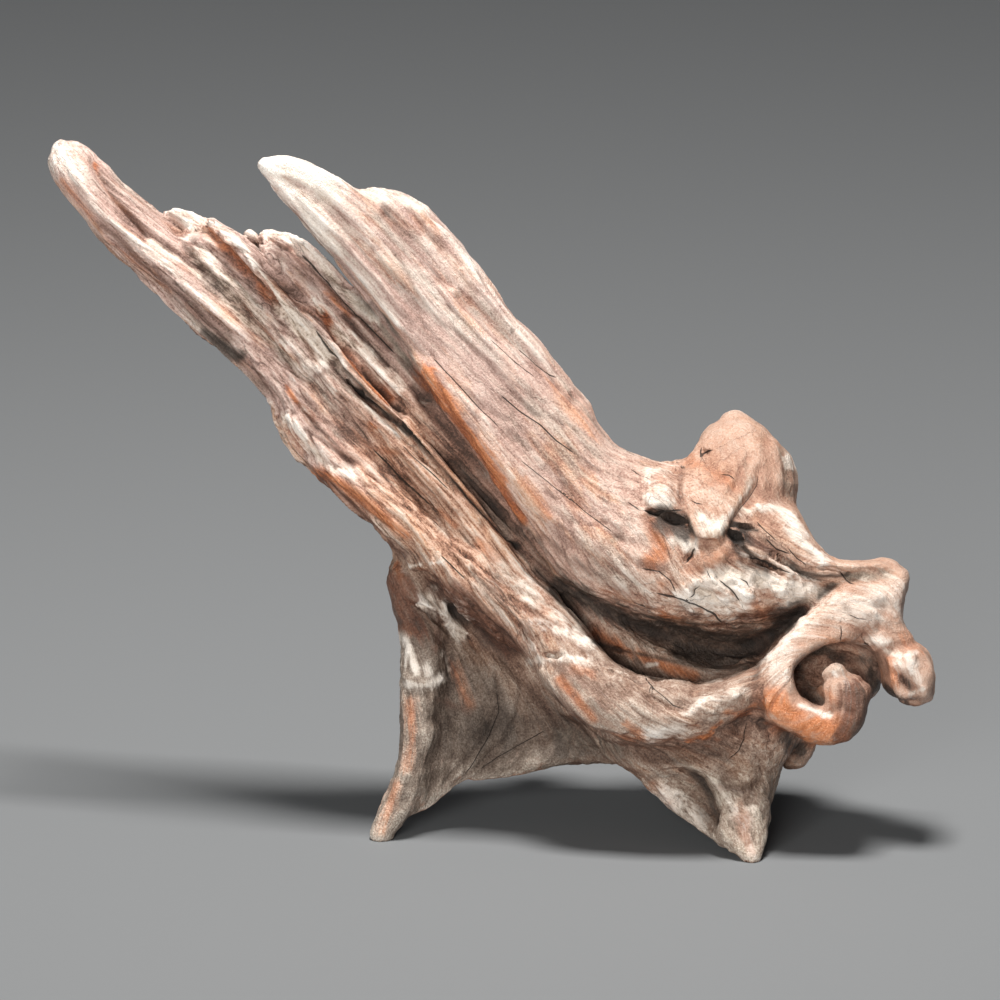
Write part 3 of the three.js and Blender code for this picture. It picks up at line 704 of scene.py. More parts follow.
# Softer grooves and, with a negative depth, ridges: (half width on the drawing, depth in
# millimetres, line).
GROOVES = [
    (8, 1.3, [(652, 520), (664, 522), (679, 523)]),
    (4, 1.2, [(862, 567), (876, 568), (890, 571)]),
    (5, 1.4, [(884, 652), (896, 646), (912, 643)]),
    (5, 1.8, [(894, 672), (904, 682), (916, 694)]),
    (6, 1.2, [(700, 512), (712, 520), (724, 522)]),
    (9, 1.2, [(768, 440), (772, 462), (770, 488)]),
    (5, 1.0, [(704, 462), (716, 470), (730, 474)]),
    (8, 2.0, [(738, 535), (750, 538), (764, 545), (778, 556)]),
    (6, 1.6, [(850, 576), (868, 575), (886, 573)]),
    (4, 1.8, [(696, 590), (702, 592), (708, 594)]),
    (3, 1.6, [(748, 565), (754, 567), (760, 571)]),
    (3.5, 1.2, [(184, 246), (198, 262), (214, 281), (230, 298)]),
    (5, 1.9, [(94, 161), (103, 180), (115, 198), (130, 216), (146, 236)]),
    (3.5, 1.2, [(206, 226), (222, 246), (240, 266), (258, 284), (275, 304), (290, 324), (305, 342), (318, 362)]),
    (2.5, 0.9, [(222, 280), (250, 318), (280, 352), (300, 375)]),
    (2.5, 0.8, [(225, 262), (245, 290), (265, 315), (285, 345)]),
    (3, 1.0, [(272, 345), (288, 362), (303, 382)]),
    (4, 1.5, [(281, 284), (292, 296), (304, 309)]),
    (3.5, 1.4, [(298, 250), (318, 272), (338, 292), (356, 314)]),
    (2, 1.4, [(266, 264), (280, 278), (293, 288)]),
    (3.5, 1.7, [(322, 310), (332, 328), (344, 347), (356, 366), (372, 383), (390, 400), (404, 414)]),
    (3.5, 1.5, [(345, 316), (360, 334), (374, 350), (388, 364)]),
    (5, 1.4, [(298, 402), (315, 424), (332, 440), (352, 464)]),
    (3, 1.0, [(360, 438), (385, 464), (410, 490), (440, 516)]),
    (3, 0.9, [(395, 452), (420, 482), (445, 505), (470, 525)]),
    (3, 0.9, [(340, 395), (365, 424), (385, 444)]),
    (3, 0.8, [(430, 540), (460, 566), (490, 590), (520, 612)]),
    (3, 1.0, [(455, 545), (490, 572), (520, 590), (548, 605)]),
    (4, 1.4, [(400, 402), (425, 430), (450, 460), (480, 492), (505, 516)]),
    (3, 1.2, [(462, 455), (485, 480), (500, 500), (520, 530)]),
    (7, 1.5, [(322, 204), (350, 236), (372, 264), (394, 288), (416, 314)]),
    (6, 1.7, [(388, 216), (402, 234), (424, 258), (448, 286)]),
    (4, 0.8, [(410, 214), (432, 240), (460, 266)]),
    (7, 1.6, [(462, 298), (490, 322), (520, 348), (545, 372), (575, 398)]),
    (4, 0.7, [(432, 357), (455, 380), (475, 402), (500, 428), (530, 452)]),
    (5, 0.8, [(545, 470), (580, 505), (615, 534), (640, 548)]),
    (5, 1.0, [(540, 520), (575, 548), (610, 572), (640, 590)]),
    (5, 1.3, [(758, 470), (757, 484), (751, 496), (743, 506), (734, 519)]),
    (4, 1.2, [(748, 458), (740, 470), (737, 484)]),
    (4, 1.0, [(744, 466), (738, 480), (728, 494)]),
    (4, 1.0, [(702, 486), (716, 482), (728, 473)]),
    (3, 0.8, [(690, 500), (696, 503), (704, 504)]),
    (5, 1.2, [(784, 444), (788, 466), (788, 494)]),
    (3, 1.2, [(718, 576), (727, 588), (737, 601)]),
    (3, 1.0, [(735, 574), (745, 584), (750, 596)]),
    (4, 1.0, [(788, 526), (800, 546), (816, 562)]),
    (3, 0.8, [(772, 524), (786, 546), (798, 560)]),
    (4, 1.2, [(806, 586), (808, 600), (800, 612)]),
    (4, 1.3, [(682, 512), (684, 526), (691, 538), (702, 544), (714, 544), (724, 539), (731, 530), (735, 520)]),
    (3, 1.6, [(400, 422), (416, 442), (440, 469), (468, 499), (500, 531), (518, 546)]),
    (3, 1.4, [(312, 333), (326, 350), (340, 368)]),
    (6, 2.2, [(424, 398), (444, 424), (462, 447), (482, 474)]),
    (3, 0.7, [(840, 612), (850, 626), (860, 640)]),
    (7, 2.6, [(560, 722), (600, 745), (650, 755), (700, 754), (735, 738), (752, 716)]),
    (6, 1.4, [(628, 672), (640, 690), (662, 706), (684, 704), (694, 690)]),
    (4, 1.0, [(648, 668), (660, 682), (674, 690)]),
    (7, 1.6, [(756, 648), (754, 680), (758, 706), (768, 726)]),
    (4, 1.2, [(838, 604), (850, 618), (862, 634), (866, 648)]),
    (4, 1.0, [(852, 600), (868, 606), (884, 604)]),
    (5, 1.6, [(872, 648), (882, 664), (884, 684), (892, 700)]),
    (5, 1.4, [(826, 712), (838, 706), (850, 712)]),
    (2.5, 0.8, [(496, 672), (499, 700), (490, 730), (470, 756), (445, 782)]),
    (3, 1.0, [(521, 690), (517, 716), (502, 742), (478, 766), (455, 786)]),
    (3, 1.0, [(560, 736), (522, 746), (490, 766), (466, 784)]),
    (5, 1.4, [(428, 620), (446, 646), (452, 670), (450, 694)]),
    (6, 1.4, [(470, 640), (500, 656), (524, 680), (552, 712)]),
    (4, 1.2, [(722, 780), (740, 789), (758, 784)]),
    (4, 1.2, [(728, 812), (730, 824), (738, 838)]),
]

# Thin cracks: (half width in millimetres, line). They are too fine for the mesh, so the finish
# draws them, from the distance that each point of the skin lies to one side of them.
CRACKS = [
    (0.28, [(718, 577), (727, 586), (734, 594), (739, 602)]),
    (0.24, [(738, 578), (745, 581), (748, 587)]),
    (0.22, [(745, 556), (760, 561), (775, 568), (790, 573)]),
    (0.30, [(641, 510), (652, 513), (664, 512), (682, 509)]),
    (0.25, [(302, 252), (330, 281), (346, 302), (375, 333), (395, 354)]),
    (0.16, [(745, 724), (744, 738), (738, 750), (728, 758)]),
    (0.14, [(497, 690), (499, 712), (490, 735), (478, 755), (464, 778)]),
    (0.14, [(546, 730), (520, 745), (498, 758), (480, 770)]),
    (0.16, [(644, 676), (656, 690), (672, 703), (684, 706)]),
    (0.14, [(640, 668), (650, 684), (648, 692)]),
    (0.22, [(683, 563), (690, 555), (693, 547)]),
    (0.20, [(755, 520), (764, 530), (776, 541)]),
    (0.18, [(688, 498), (695, 502), (702, 503)]),
    (0.20, [(705, 569), (707, 574), (710, 579)]),
    (0.24, [(687, 597), (693, 594), (699, 585)]),
    (0.30, [(701, 446), (700, 455), (706, 452), (713, 449)]),
    (0.18, [(839, 624), (840, 634), (838, 642)]),
    (0.16, [(845, 613), (856, 618), (866, 619)]),
    (0.12, [(758, 474), (757, 485), (751, 496), (743, 506), (734, 519)]),
    (0.22, [(630, 602), (640, 606), (652, 611)]),
    (0.16, [(630, 468), (640, 475), (650, 480)]),
    (0.30, [(398, 421), (416, 442), (440, 468), (468, 499), (500, 531), (518, 546)]),
    (0.25, [(312, 332), (326, 350), (340, 368)]),
    (0.28, [(500, 395), (520, 412), (540, 425), (556, 441), (574, 453)]),
    (0.20, [(432, 357), (455, 380), (475, 402), (500, 428)]),
    (0.15, [(490, 340), (515, 362), (535, 378)]),
    (0.18, [(518, 348), (545, 369), (559, 377)]),
    (0.15, [(520, 460), (545, 480), (572, 502)]),
    (0.18, [(560, 490), (585, 512), (612, 532)]),
    (0.25, [(626, 501), (640, 511)]),
    (0.35, [(655, 593), (680, 598), (700, 607), (714, 615), (722, 622)]),
    (0.22, [(640, 568), (658, 571), (669, 580), (675, 592)]),
    (0.20, [(719, 473), (728, 472), (735, 479)]),
    (0.18, [(862, 634), (862, 644), (868, 650)]),
    (0.30, [(838, 570), (845, 580), (854, 584)]),
    (0.25, [(440, 554), (452, 566), (466, 580)]),
    (0.22, [(372, 448), (400, 478), (430, 506)]),
    (0.20, [(402, 444), (424, 466), (450, 490)]),
    (0.20, [(786, 546), (796, 558), (806, 566)]),
    (0.20, [(764, 536), (776, 548), (790, 554)]),
]

# Marks of the finishes on the front, some of them painted shade and painted highlights: (half width on the
# # drawing, strength, line).
HEARTWOOD = [
    (12, 0.45, [(694, 555), (708, 561), (722, 553)]),
    (10, 0.7, [(652, 520), (660, 538), (660, 556)]),
    (20, 1.1, [(768, 700), (780, 714), (800, 722), (820, 728), (846, 730)]),
    (8, 0.6, [(290, 250), (320, 280), (350, 312)]),
    (7, 0.6, [(396, 600), (410, 634)]),
    (9, 0.45, [(396, 786), (388, 808), (382, 830)]),
    (8, 0.5, [(806, 634), (824, 638), (840, 640)]),
    (7, 0.5, [(886, 660), (888, 680)]),
    (4, 0.9, [(96, 162), (100, 172)]),
    (5, 0.55, [(100, 176), (115, 198), (130, 216), (142, 230)]),
    (7, 0.6, [(62, 182), (85, 212), (110, 242), (140, 268), (170, 292)]),
    (6, 0.8, [(205, 225), (222, 246), (240, 266), (258, 284), (275, 304)]),
    (4, 0.7, [(275, 304), (290, 324), (305, 342), (318, 362)]),
    (4, 0.8, [(281, 284), (292, 296), (304, 309)]),
    (4, 0.6, [(262, 234), (272, 238)]),
    (5, 0.8, [(326, 292), (338, 303), (350, 316)]),
    (6, 1.1, [(322, 310), (332, 328), (344, 347), (356, 366), (372, 383), (388, 399)]),
    (5, 1.3, [(370, 424), (375, 428)]),
    (4, 1.0, [(286, 386), (296, 402)]),
    (5, 0.6, [(298, 404), (312, 420)]),
    (9, 0.95, [(320, 471), (343, 485), (366, 503), (388, 521), (404, 536)]),
    (4, 0.6, [(440, 510), (456, 526)]),
    (7, 0.6, [(478, 545), (497, 557)]),
    (4, 0.6, [(352, 430), (372, 448), (395, 455)]),
    (5, 0.6, [(470, 455), (482, 472)]),
    (11, 1.4, [(426, 374), (442, 396), (457, 417), (471, 438), (486, 460), (498, 482)]),
    (8, 1.0, [(500, 486), (510, 504), (520, 518)]),
    (6, 0.55, [(522, 482), (536, 500), (547, 516)]),
    (14, 0.45, [(560, 384), (578, 410), (590, 438)]),
    (10, 0.35, [(500, 350), (512, 372), (520, 392)]),
    (9, 0.75, [(652, 526), (662, 546), (650, 563)]),
    (5, 0.6, [(656, 468), (662, 490)]),
    (12, 0.5, [(692, 462), (716, 474), (734, 486)]),
    (6, 0.5, [(690, 568), (700, 570)]),
    (10, 0.7, [(752, 604), (764, 612)]),
    (6, 0.6, [(660, 584), (656, 604), (664, 614)]),
    (5, 0.5, [(796, 706), (816, 716), (836, 722)]),
    (9, 0.6, [(786, 640), (800, 644)]),
    (8, 0.6, [(822, 690), (834, 700)]),
    (10, 0.6, [(888, 660), (890, 682)]),
    (10, 0.5, [(900, 636), (916, 650)]),
    (6, 0.6, [(626, 722), (641, 735)]),
    (5, 1.0, [(688, 739), (705, 735), (720, 722)]),
    (6, 0.6, [(726, 712), (748, 716)]),
    (6, 0.7, [(560, 679), (575, 696), (592, 717)]),
    (8, 0.5, [(575, 668), (590, 672)]),
    (9, 0.5, [(410, 702), (412, 735), (409, 768)]),
    (6, 0.8, [(396, 566), (400, 578)]),
    (8, 0.45, [(455, 664), (462, 690), (470, 705)]),
    (8, 0.75, [(594, 632), (625, 650), (655, 662), (694, 676)]),
    (7, 0.45, [(738, 802), (742, 830), (750, 850)]),
    (10, 0.35, [(655, 785), (670, 800)]),
]
# Brown marks: brown wood, and in places painted shade, as under the pocket, the strap's cavity and the lip.
UMBER_AND_PAINTED_SHADE = [
    (10, 0.5, [(738, 812), (744, 832), (750, 850)]),
    (17, 0.5, [(496, 584), (540, 618), (584, 644)]),
    (7, 0.6, [(560, 666), (590, 684), (606, 706)]),
    (9, 0.75, [(654, 526), (668, 531), (681, 540)]),
    (8, 0.85, [(738, 536), (752, 541), (768, 548)]),
    (10, 1.1, [(394, 582), (398, 600), (404, 618)]),
    (22, 1.5, [(852, 694), (858, 710), (852, 732)]),
    (19, 1.2, [(394, 584), (406, 604), (416, 628)]),
    (18, 1.1, [(440, 588), (462, 604), (486, 624), (510, 648)]),
    (6, 0.7, [(683, 606), (696, 616)]),
    (5, 0.8, [(728, 532), (734, 548), (740, 560)]),
    (9, 0.6, [(742, 616), (765, 610), (786, 612)]),
    (6, 0.9, [(740, 536), (756, 541), (772, 550)]),
    (5, 0.8, [(697, 586), (706, 592)]),
    (6, 0.6, [(414, 388), (436, 418), (456, 446), (476, 472), (496, 500)]),
    (10, 0.6, [(396, 572), (400, 600), (402, 626)]),
    (8, 0.6, [(432, 590), (440, 620), (438, 646)]),
    (5, 0.8, [(100, 172), (115, 196), (130, 214), (144, 232)]),
    (8, 0.7, [(100, 226), (130, 252), (165, 282), (200, 318), (226, 340)]),
    (7, 0.6, [(240, 358), (262, 382), (285, 402)]),
    (2.5, 0.5, [(222, 280), (250, 318), (280, 352), (300, 375)]),
    (2.5, 0.5, [(225, 262), (245, 290), (265, 315), (285, 345)]),
    (3, 0.5, [(272, 345), (288, 362), (303, 382)]),
    (6, 0.6, [(272, 246), (288, 260), (304, 276)]),
    (5, 0.8, [(272, 236), (300, 262), (330, 290), (360, 318), (390, 348)]),
    (5, 1.0, [(345, 316), (360, 334), (374, 350), (388, 364)]),
    (6, 0.8, [(300, 405), (315, 424), (332, 440), (352, 464)]),
    (5, 0.7, [(310, 380), (325, 372)]),
    (6, 0.7, [(320, 482), (350, 503), (380, 530), (404, 556)]),
    (9, 0.45, [(398, 452), (425, 486), (455, 510)]),
    (8, 0.35, [(460, 465), (490, 500), (530, 545)]),
    (3, 0.7, [(282, 203), (300, 222), (318, 240), (332, 258)]),
    (6, 0.5, [(540, 536), (580, 566), (620, 590), (650, 608)]),
    (5, 0.45, [(680, 470), (679, 490), (681, 514)]),
    (6, 0.7, [(640, 565), (662, 568)]),
    (4, 0.9, [(697, 588), (706, 594)]),
    (4, 0.7, [(724, 580), (736, 596)]),
    (4, 0.7, [(750, 565), (758, 570)]),
    (7, 0.9, [(738, 530), (756, 540), (774, 552)]),
    (8, 0.5, [(760, 610), (780, 614), (792, 612)]),
    (4, 0.9, [(898, 676), (904, 684)]),
    (8, 0.6, [(886, 694), (906, 702)]),
    (8, 0.6, [(394, 588), (410, 600), (424, 606)]),
    (8, 0.7, [(450, 584), (466, 592), (478, 612)]),
    (7, 0.8, [(480, 616), (500, 634), (518, 652)]),
    (6, 0.5, [(440, 700), (470, 712)]),
    (6, 0.6, [(560, 700), (580, 722)]),
    (5, 0.5, [(720, 785), (748, 790)]),
]
# Pale marks: bleached wood, and in places painted highlights, as on the lip, the tongue and the top of the loop.
BLEACHED_AND_HIGHLIGHT = [
    (13, 0.6, [(198, 250), (216, 274), (240, 300)]),
    (10, 0.75, [(338, 330), (362, 352), (384, 376)]),
    (10, 0.75, [(360, 276), (380, 300), (396, 322)]),
    (5, 0.7, [(284, 318), (300, 334), (316, 350)]),
    (7, 0.95, [(264, 229), (284, 230), (300, 244), (320, 263), (340, 285), (360, 306), (376, 320)]),
    (3, 0.7, [(322, 302), (348, 330), (372, 352)]),
    (8, 0.6, [(288, 338), (302, 354), (316, 370)]),
    (26, 1.1, [(268, 163), (300, 178), (330, 196)]),
    (22, 0.7, [(284, 186), (312, 215), (340, 245)]),
    (12, 0.75, [(430, 598), (446, 612), (460, 630)]),
    (8, 0.4, [(352, 262), (380, 298), (404, 330)]),
    (14, 0.9, [(284, 312), (304, 334), (326, 356)]),
    (20, 0.5, [(776, 668), (800, 630), (830, 606)]),
    (14, 0.6, [(622, 574), (640, 588), (656, 600)]),
    (9, 0.5, [(206, 262), (236, 292), (262, 320)]),
    (9, 0.5, [(290, 318), (312, 342), (340, 368)]),
    (8, 0.5, [(350, 340), (372, 362), (398, 388)]),
    (14, 0.3, [(496, 566), (536, 598), (576, 626)]),
    (14, 0.5, [(664, 792), (684, 806), (700, 822)]),
    (3, 1.0, [(418, 604), (436, 608), (452, 620), (468, 634)]),
    (9, 0.8, [(404, 640), (412, 662), (424, 672)]),
    (6, 1.0, [(408, 684), (426, 686), (446, 678)]),
    (4, 0.8, [(884, 650), (898, 656), (914, 652)]),
    (6, 0.7, [(700, 516), (716, 524), (732, 512)]),
    (28, 0.6, [(828, 606), (858, 612), (884, 600)]),
    (8, 0.7, [(784, 642), (798, 624), (818, 606), (842, 592)]),
    (12, 0.6, [(770, 660), (772, 676)]),
    (4, 0.9, [(798, 703), (812, 709), (827, 714)]),
    (8, 0.3, [(832, 674), (844, 674)]),
    (9, 0.8, [(54, 146), (64, 160), (80, 178)]),
    (5, 0.7, [(72, 168), (95, 205), (122, 232), (160, 262), (200, 296)]),
    (4, 0.9, [(150, 240), (170, 252), (186, 262), (200, 275)]),
    (5, 0.9, [(186, 222), (192, 232), (184, 238)]),
    (3, 0.6, [(168, 210), (182, 209), (200, 217)]),
    (4, 0.8, [(234, 238), (262, 272), (284, 306), (306, 336), (330, 354), (345, 366)]),
    (5, 0.6, [(221, 299), (255, 330), (290, 362), (310, 380)]),
    (4, 0.6, [(190, 220), (215, 226), (236, 238)]),
    (5, 1.2, [(246, 231), (252, 234)]),
    (3, 0.7, [(314, 300), (322, 312)]),
    (6, 0.9, [(286, 417), (296, 430), (304, 440)]),
    (7, 0.6, [(304, 446), (326, 464), (352, 476)]),
    (16, 0.9, [(272, 164), (300, 172), (332, 184)]),
    (34, 0.42, [(310, 196), (360, 238), (410, 280), (440, 310)]),
    (20, 0.35, [(430, 240), (470, 300), (520, 360)]),
    (9, 0.7, [(366, 192), (396, 200), (420, 208)]),
    (5, 0.7, [(424, 208), (450, 240), (472, 266), (484, 290)]),
    (4, 0.5, [(490, 298), (520, 332), (545, 360), (570, 388)]),
    (6, 0.5, [(410, 296), (430, 312), (450, 318)]),
    (5, 0.5, [(450, 385), (480, 410), (500, 445), (512, 476)]),
    (1.6, 0.7, [(362, 402), (385, 425), (405, 445), (430, 468)]),
    (3, 0.8, [(410, 566), (420, 565)]),
    (2.5, 0.8, [(430, 564), (440, 562)]),
    (3, 0.5, [(444, 652), (450, 670)]),
    (5, 0.6, [(444, 618), (462, 630)]),
    (4, 0.45, [(472, 584), (490, 602), (512, 626), (532, 648)]),
    (5, 0.6, [(528, 662), (560, 654), (590, 660)]),
    (5, 0.7, [(556, 628), (578, 640), (592, 644)]),
    (8, 0.6, [(684, 712), (702, 698), (722, 690), (746, 690)]),
    (8, 0.6, [(650, 730), (680, 728)]),
    (7, 0.8, [(647, 498), (668, 502)]),
    (8, 0.6, [(650, 472), (668, 466)]),
    (8, 1.0, [(676, 540), (688, 548)]),
    (5, 0.6, [(730, 512), (744, 496), (752, 480)]),
    (7, 0.6, [(744, 512), (766, 508), (784, 512)]),
    (14, 1.1, [(698, 588), (730, 578), (770, 580), (812, 590)]),
    (14, 1.0, [(686, 598), (716, 602), (742, 598)]),
    (9, 0.9, [(780, 596), (806, 600)]),
    (9, 0.9, [(745, 510), (775, 505), (790, 520), (802, 545), (822, 560)]),
    (7, 0.5, [(704, 528), (720, 525), (733, 510), (744, 496)]),
    (9, 0.5, [(648, 478), (664, 490), (660, 504)]),
    (6, 0.6, [(742, 552), (760, 556), (790, 568)]),
    (8, 0.6, [(794, 540), (816, 560)]),
    (5, 1.0, [(788, 456), (791, 466)]),
    (8, 0.8, [(868, 640), (884, 642)]),
    (3, 1.2, [(831, 671), (834, 674)]),
    (8, 0.7, [(900, 655), (914, 662)]),
    (5, 0.7, [(910, 694), (922, 688)]),
    (8, 0.5, [(762, 668), (776, 672)]),
    (16, 0.15, [(716, 786), (736, 806), (744, 834)]),
    (9, 0.6, [(897, 660), (908, 668), (916, 680)]),
    (3, 1.0, [(648, 665), (656, 664)]),
    (4, 0.4, [(748, 852), (756, 856)]),
    (6, 0.5, [(728, 795), (732, 808)]),
]
# Dark marks, most of them painted shadow: under the overhangs of the blade and brow, in the throat, the pocket, the
# strap's cavity and the gaps between limbs, and under the lip; a few are dark weathered wood.
SMOKED_AND_PAINTED_SHADE = [
    (12, 0.65, [(858, 692), (862, 710), (854, 730)]),
    (12, 1.3, [(662, 519), (674, 523), (681, 528)]),
    (5, 0.9, [(650, 513), (662, 515), (680, 517)]),
    (4, 0.8, [(662, 526), (678, 530)]),
    (6, 0.8, [(692, 776), (706, 792), (713, 812)]),
    (5, 0.5, [(650, 776), (668, 773), (684, 775)]),
    (8, 0.4, [(762, 624), (780, 622), (792, 614)]),
    (7, 1.0, [(871, 674), (876, 688), (888, 697)]),
    (6, 1.0, [(204, 333), (222, 345), (240, 357)]),
    (3, 0.5, [(184, 246), (200, 262), (218, 282)]),
    (3, 0.9, [(336, 362), (372, 399), (410, 436), (440, 468), (480, 510), (517, 545)]),
    (5, 0.5, [(334, 256), (350, 276), (368, 296)]),
    (6, 0.6, [(370, 304), (396, 336), (416, 366)]),
    (5, 0.35, [(320, 200), (350, 235), (370, 262)]),
    (5, 0.5, [(384, 208), (398, 228), (420, 252), (440, 276)]),
    (6, 0.4, [(380, 262), (400, 284), (415, 300)]),
    (7, 0.35, [(460, 295), (490, 320), (520, 346), (540, 362)]),
    (5, 0.4, [(404, 330), (424, 348)]),
    (4, 0.4, [(390, 218), (400, 232)]),
    (9, 0.6, [(520, 530), (540, 556), (566, 584)]),
    (12, 1.1, [(560, 586), (600, 608), (640, 622), (700, 634), (744, 642)]),
    (14, 1.1, [(680, 650), (720, 660), (744, 656)]),
    (9, 0.8, [(770, 634), (790, 620)]),
    (10, 0.6, [(700, 630), (740, 632), (770, 630)]),
    (4, 1.0, [(732, 526), (744, 527), (757, 529)]),
    (11, 1.2, [(734, 531), (737, 538), (741, 546)]),
    (6, 1.0, [(744, 549), (756, 560), (766, 570)]),
    (11, 0.9, [(776, 620), (788, 613), (798, 606)]),
    (3, 0.8, [(785, 558), (802, 572), (824, 577), (846, 574)]),
    (9, 0.8, [(798, 668), (804, 688), (814, 700)]),
    (9, 0.9, [(806, 658), (822, 650), (840, 658)]),
    (7, 0.5, [(850, 658), (860, 660), (874, 664)]),
    (4, 1.0, [(876, 680), (886, 694), (906, 702)]),
    (6, 0.7, [(902, 680), (912, 688)]),
    (5, 0.7, [(870, 684), (884, 698)]),
    (12, 0.9, [(786, 736), (800, 752)]),
    (5, 0.5, [(754, 650), (754, 690), (760, 720)]),
    (6, 0.6, [(404, 612), (420, 628)]),
    (12, 0.5, [(600, 752), (660, 760), (720, 754)]),
    (4, 0.7, [(694, 772), (710, 792), (716, 822)]),
    (9, 0.5, [(700, 800), (706, 818)]),
    (3, 0.8, [(592, 642), (620, 650), (660, 658), (696, 666)]),
    (36, 0.7, [(470, 738), (505, 722), (545, 722), (575, 745)]),
    (24, 0.5, [(480, 660), (500, 690)]),
    (8, 0.5, [(392, 600), (400, 620)]),
]
SILVERED = [
    (9, 0.7, [(698, 516), (708, 532), (724, 526)]),
    (10, 0.5, [(744, 616), (764, 610), (780, 608)]),
    (7, 0.6, [(784, 448), (790, 470), (790, 494)]),
    (7, 0.5, [(744, 462), (748, 480), (740, 500)]),
    (5, 0.5, [(286, 233), (305, 244), (325, 262), (345, 285), (362, 305), (378, 322)]),
    (7, 0.8, [(380, 326), (396, 344), (408, 364)]),
    (10, 0.5, [(500, 574), (540, 602), (580, 622)]),
    (9, 0.8, [(408, 650), (420, 672)]),
    (7, 0.8, [(848, 576), (868, 576), (888, 573)]),
    (30, 0.5, [(690, 780), (730, 800), (745, 840)]),
    (6, 0.6, [(620, 535), (612, 540)]),
    (10, 0.6, [(560, 735), (610, 748)]),
    (5, 0.6, [(826, 670), (836, 668)]),
    (8, 0.5, [(738, 690), (752, 704)]),
]
STAINS_AND_PAINTED_LIGHT = {"heartwood": HEARTWOOD, "umber_and_painted_shade": UMBER_AND_PAINTED_SHADE, "bleached_and_highlight": BLEACHED_AND_HIGHLIGHT, "smoked_and_painted_shade": SMOKED_AND_PAINTED_SHADE, "silvered": SILVERED}

# Limbs whose grain doesn't run from their first row to their last.
ACROSS = {"web"}
AGAINST = {"curl"}


def grain_direction(name, points):
    """The unit direction of the grain at each point of a limb: along its path, or across it."""
    if name in ACROSS:
        across = points[:, points.shape[1] // 2] - points[:, 0]
        run = np.broadcast_to(across[:, None, :], points.shape)
    else:
        run = np.gradient(points.mean(axis=1), axis=0)
        run = np.broadcast_to(run[:, None, :], points.shape)
    run = run / (np.linalg.norm(run, axis=-1, keepdims=True) + 1e-9)
    return -run if name in AGAINST else run


def blurred(values, reach):
    """A grid blurred by three box averages along each axis, over reach cells to each side."""
    for axis in range(3):
        for _ in range(3):
            widths = [(0, 0)] * values.ndim
            widths[axis] = (reach + 1, reach)
            total = np.cumsum(np.pad(values, widths, mode="edge"), axis=axis, dtype=np.float64)
            count = values.shape[axis]
            far = np.take(total, np.arange(2 * reach + 1, 2 * reach + 1 + count), axis=axis)
            near = np.take(total, np.arange(count), axis=axis)
            values = ((far - near) / (2 * reach + 1)).astype(np.float32)
    return values


def read_grid(values, first, spacing, points):
    """A grid's values at any points, by trilinear weights of the eight cells around each."""
    where = points / spacing - first
    corner = np.clip(np.floor(where).astype(int), 0, np.array(values.shape[:3]) - 2)
    share = np.clip(where - corner, 0, 1)
    total = 0
    for dx in (0, 1):
        for dy in (0, 1):
            for dz in (0, 1):
                weight = np.ones(len(points))
                for axis, step in enumerate((dx, dy, dz)):
                    weight = weight * (share[:, axis] if step else 1 - share[:, axis])
                found = values[corner[:, 0] + dx, corner[:, 1] + dy, corner[:, 2] + dz]
                total = total + (found * weight if found.ndim == 1 else found * weight[:, None])
    return total


def solve_potential(slope, weight, spacing, rounds=160):
    """The grid F whose steps best match the wished slope, by conjugate gradients.

    It makes the sum over all neighbouring cells of weight * (step of F - spacing * slope)^2 least.
    """
    def ends(axis):
        near = [slice(None)] * 3
        far = [slice(None)] * 3
        near[axis] = slice(0, -1)
        far[axis] = slice(1, None)
        return tuple(near), tuple(far)

    pairs = [ends(axis) for axis in range(3)]
    ties = [np.minimum(weight[near], weight[far]) for near, far in pairs]

    def spread(flows):
        total = np.zeros(weight.shape)
        for flow, (near, far) in zip(flows, pairs):
            total[near] -= flow
            total[far] += flow
        return total

    def pull(grid):
        return spread([tie * (grid[far] - grid[near]) for tie, (near, far) in zip(ties, pairs)])

    wished = []
    for axis, (tie, (near, far)) in enumerate(zip(ties, pairs)):
        wished.append(tie * spacing * (slope[near][..., axis] + slope[far][..., axis]) / 2)
    found = np.zeros(weight.shape)
    left = spread(wished)
    way = left.copy()
    error = (left * left).sum()
    for _ in range(rounds):
        moved = pull(way)
        size = error / (way * moved).sum()
        found += size * way
        left -= size * moved
        smaller = (left * left).sum()
        way = left + way * (smaller / error)
        error = smaller
    return found


class Grain:
    """Coordinates that follow the fibres: along them, across them and into the depth, in
    millimetres. Each is the potential whose slope best matches that direction. The shares say how
    much each group of limbs counts at a place."""

    def __init__(self, block, skins):
        low = block.first * VOXEL
        high = low + block.shape * VOXEL
        self.first = np.floor(low / COARSE).astype(int) - 1
        shape = tuple(np.ceil(high / COARSE).astype(int) - self.first + 2)
        run = np.zeros(shape + (3,), np.float32)
        shares = np.zeros(shape + (len(GROUPS),), np.float32)
        for index, group in enumerate(GROUPS):
            for name in group:
                points = skins[name]
                flat = points[::2, ::2].reshape(-1, 3)
                cell = tuple(np.round(flat / COARSE).astype(int).T - self.first[:, None])
                inside = np.all([(c >= 0) & (c < n) for c, n in zip(cell, shape)], axis=0)
                cell = tuple(c[inside] for c in cell)
                way = grain_direction(name, points)[::2, ::2].reshape(-1, 3)[inside]
                np.add.at(run, cell, way)
                np.add.at(shares[..., index], cell, 1)
        run = blurred(run, 1)
        shares = blurred(shares, 1)
        count = shares.sum(axis=-1)
        self.shares = shares / (count[..., None] + 1e-3)
        run = run / (np.linalg.norm(run, axis=-1, keepdims=True) + 1e-6)
        away = np.array([0, math.cos(LEAN), -math.sin(LEAN)])
        inward = away - run * (run @ away)[..., None]
        inward /= np.linalg.norm(inward, axis=-1, keepdims=True) + 1e-6
        across = np.cross(run, inward)
        weight = count / (count + 1.0) + 2e-3
        self.grids = np.stack(
            [solve_potential(slope, weight, COARSE) for slope in (run, across, inward)], axis=-1)

    def at(self, points):
        return read_grid(self.grids, self.first, COARSE, points)

    def shares_at(self, points):
        return read_grid(self.shares, self.first, COARSE, points)


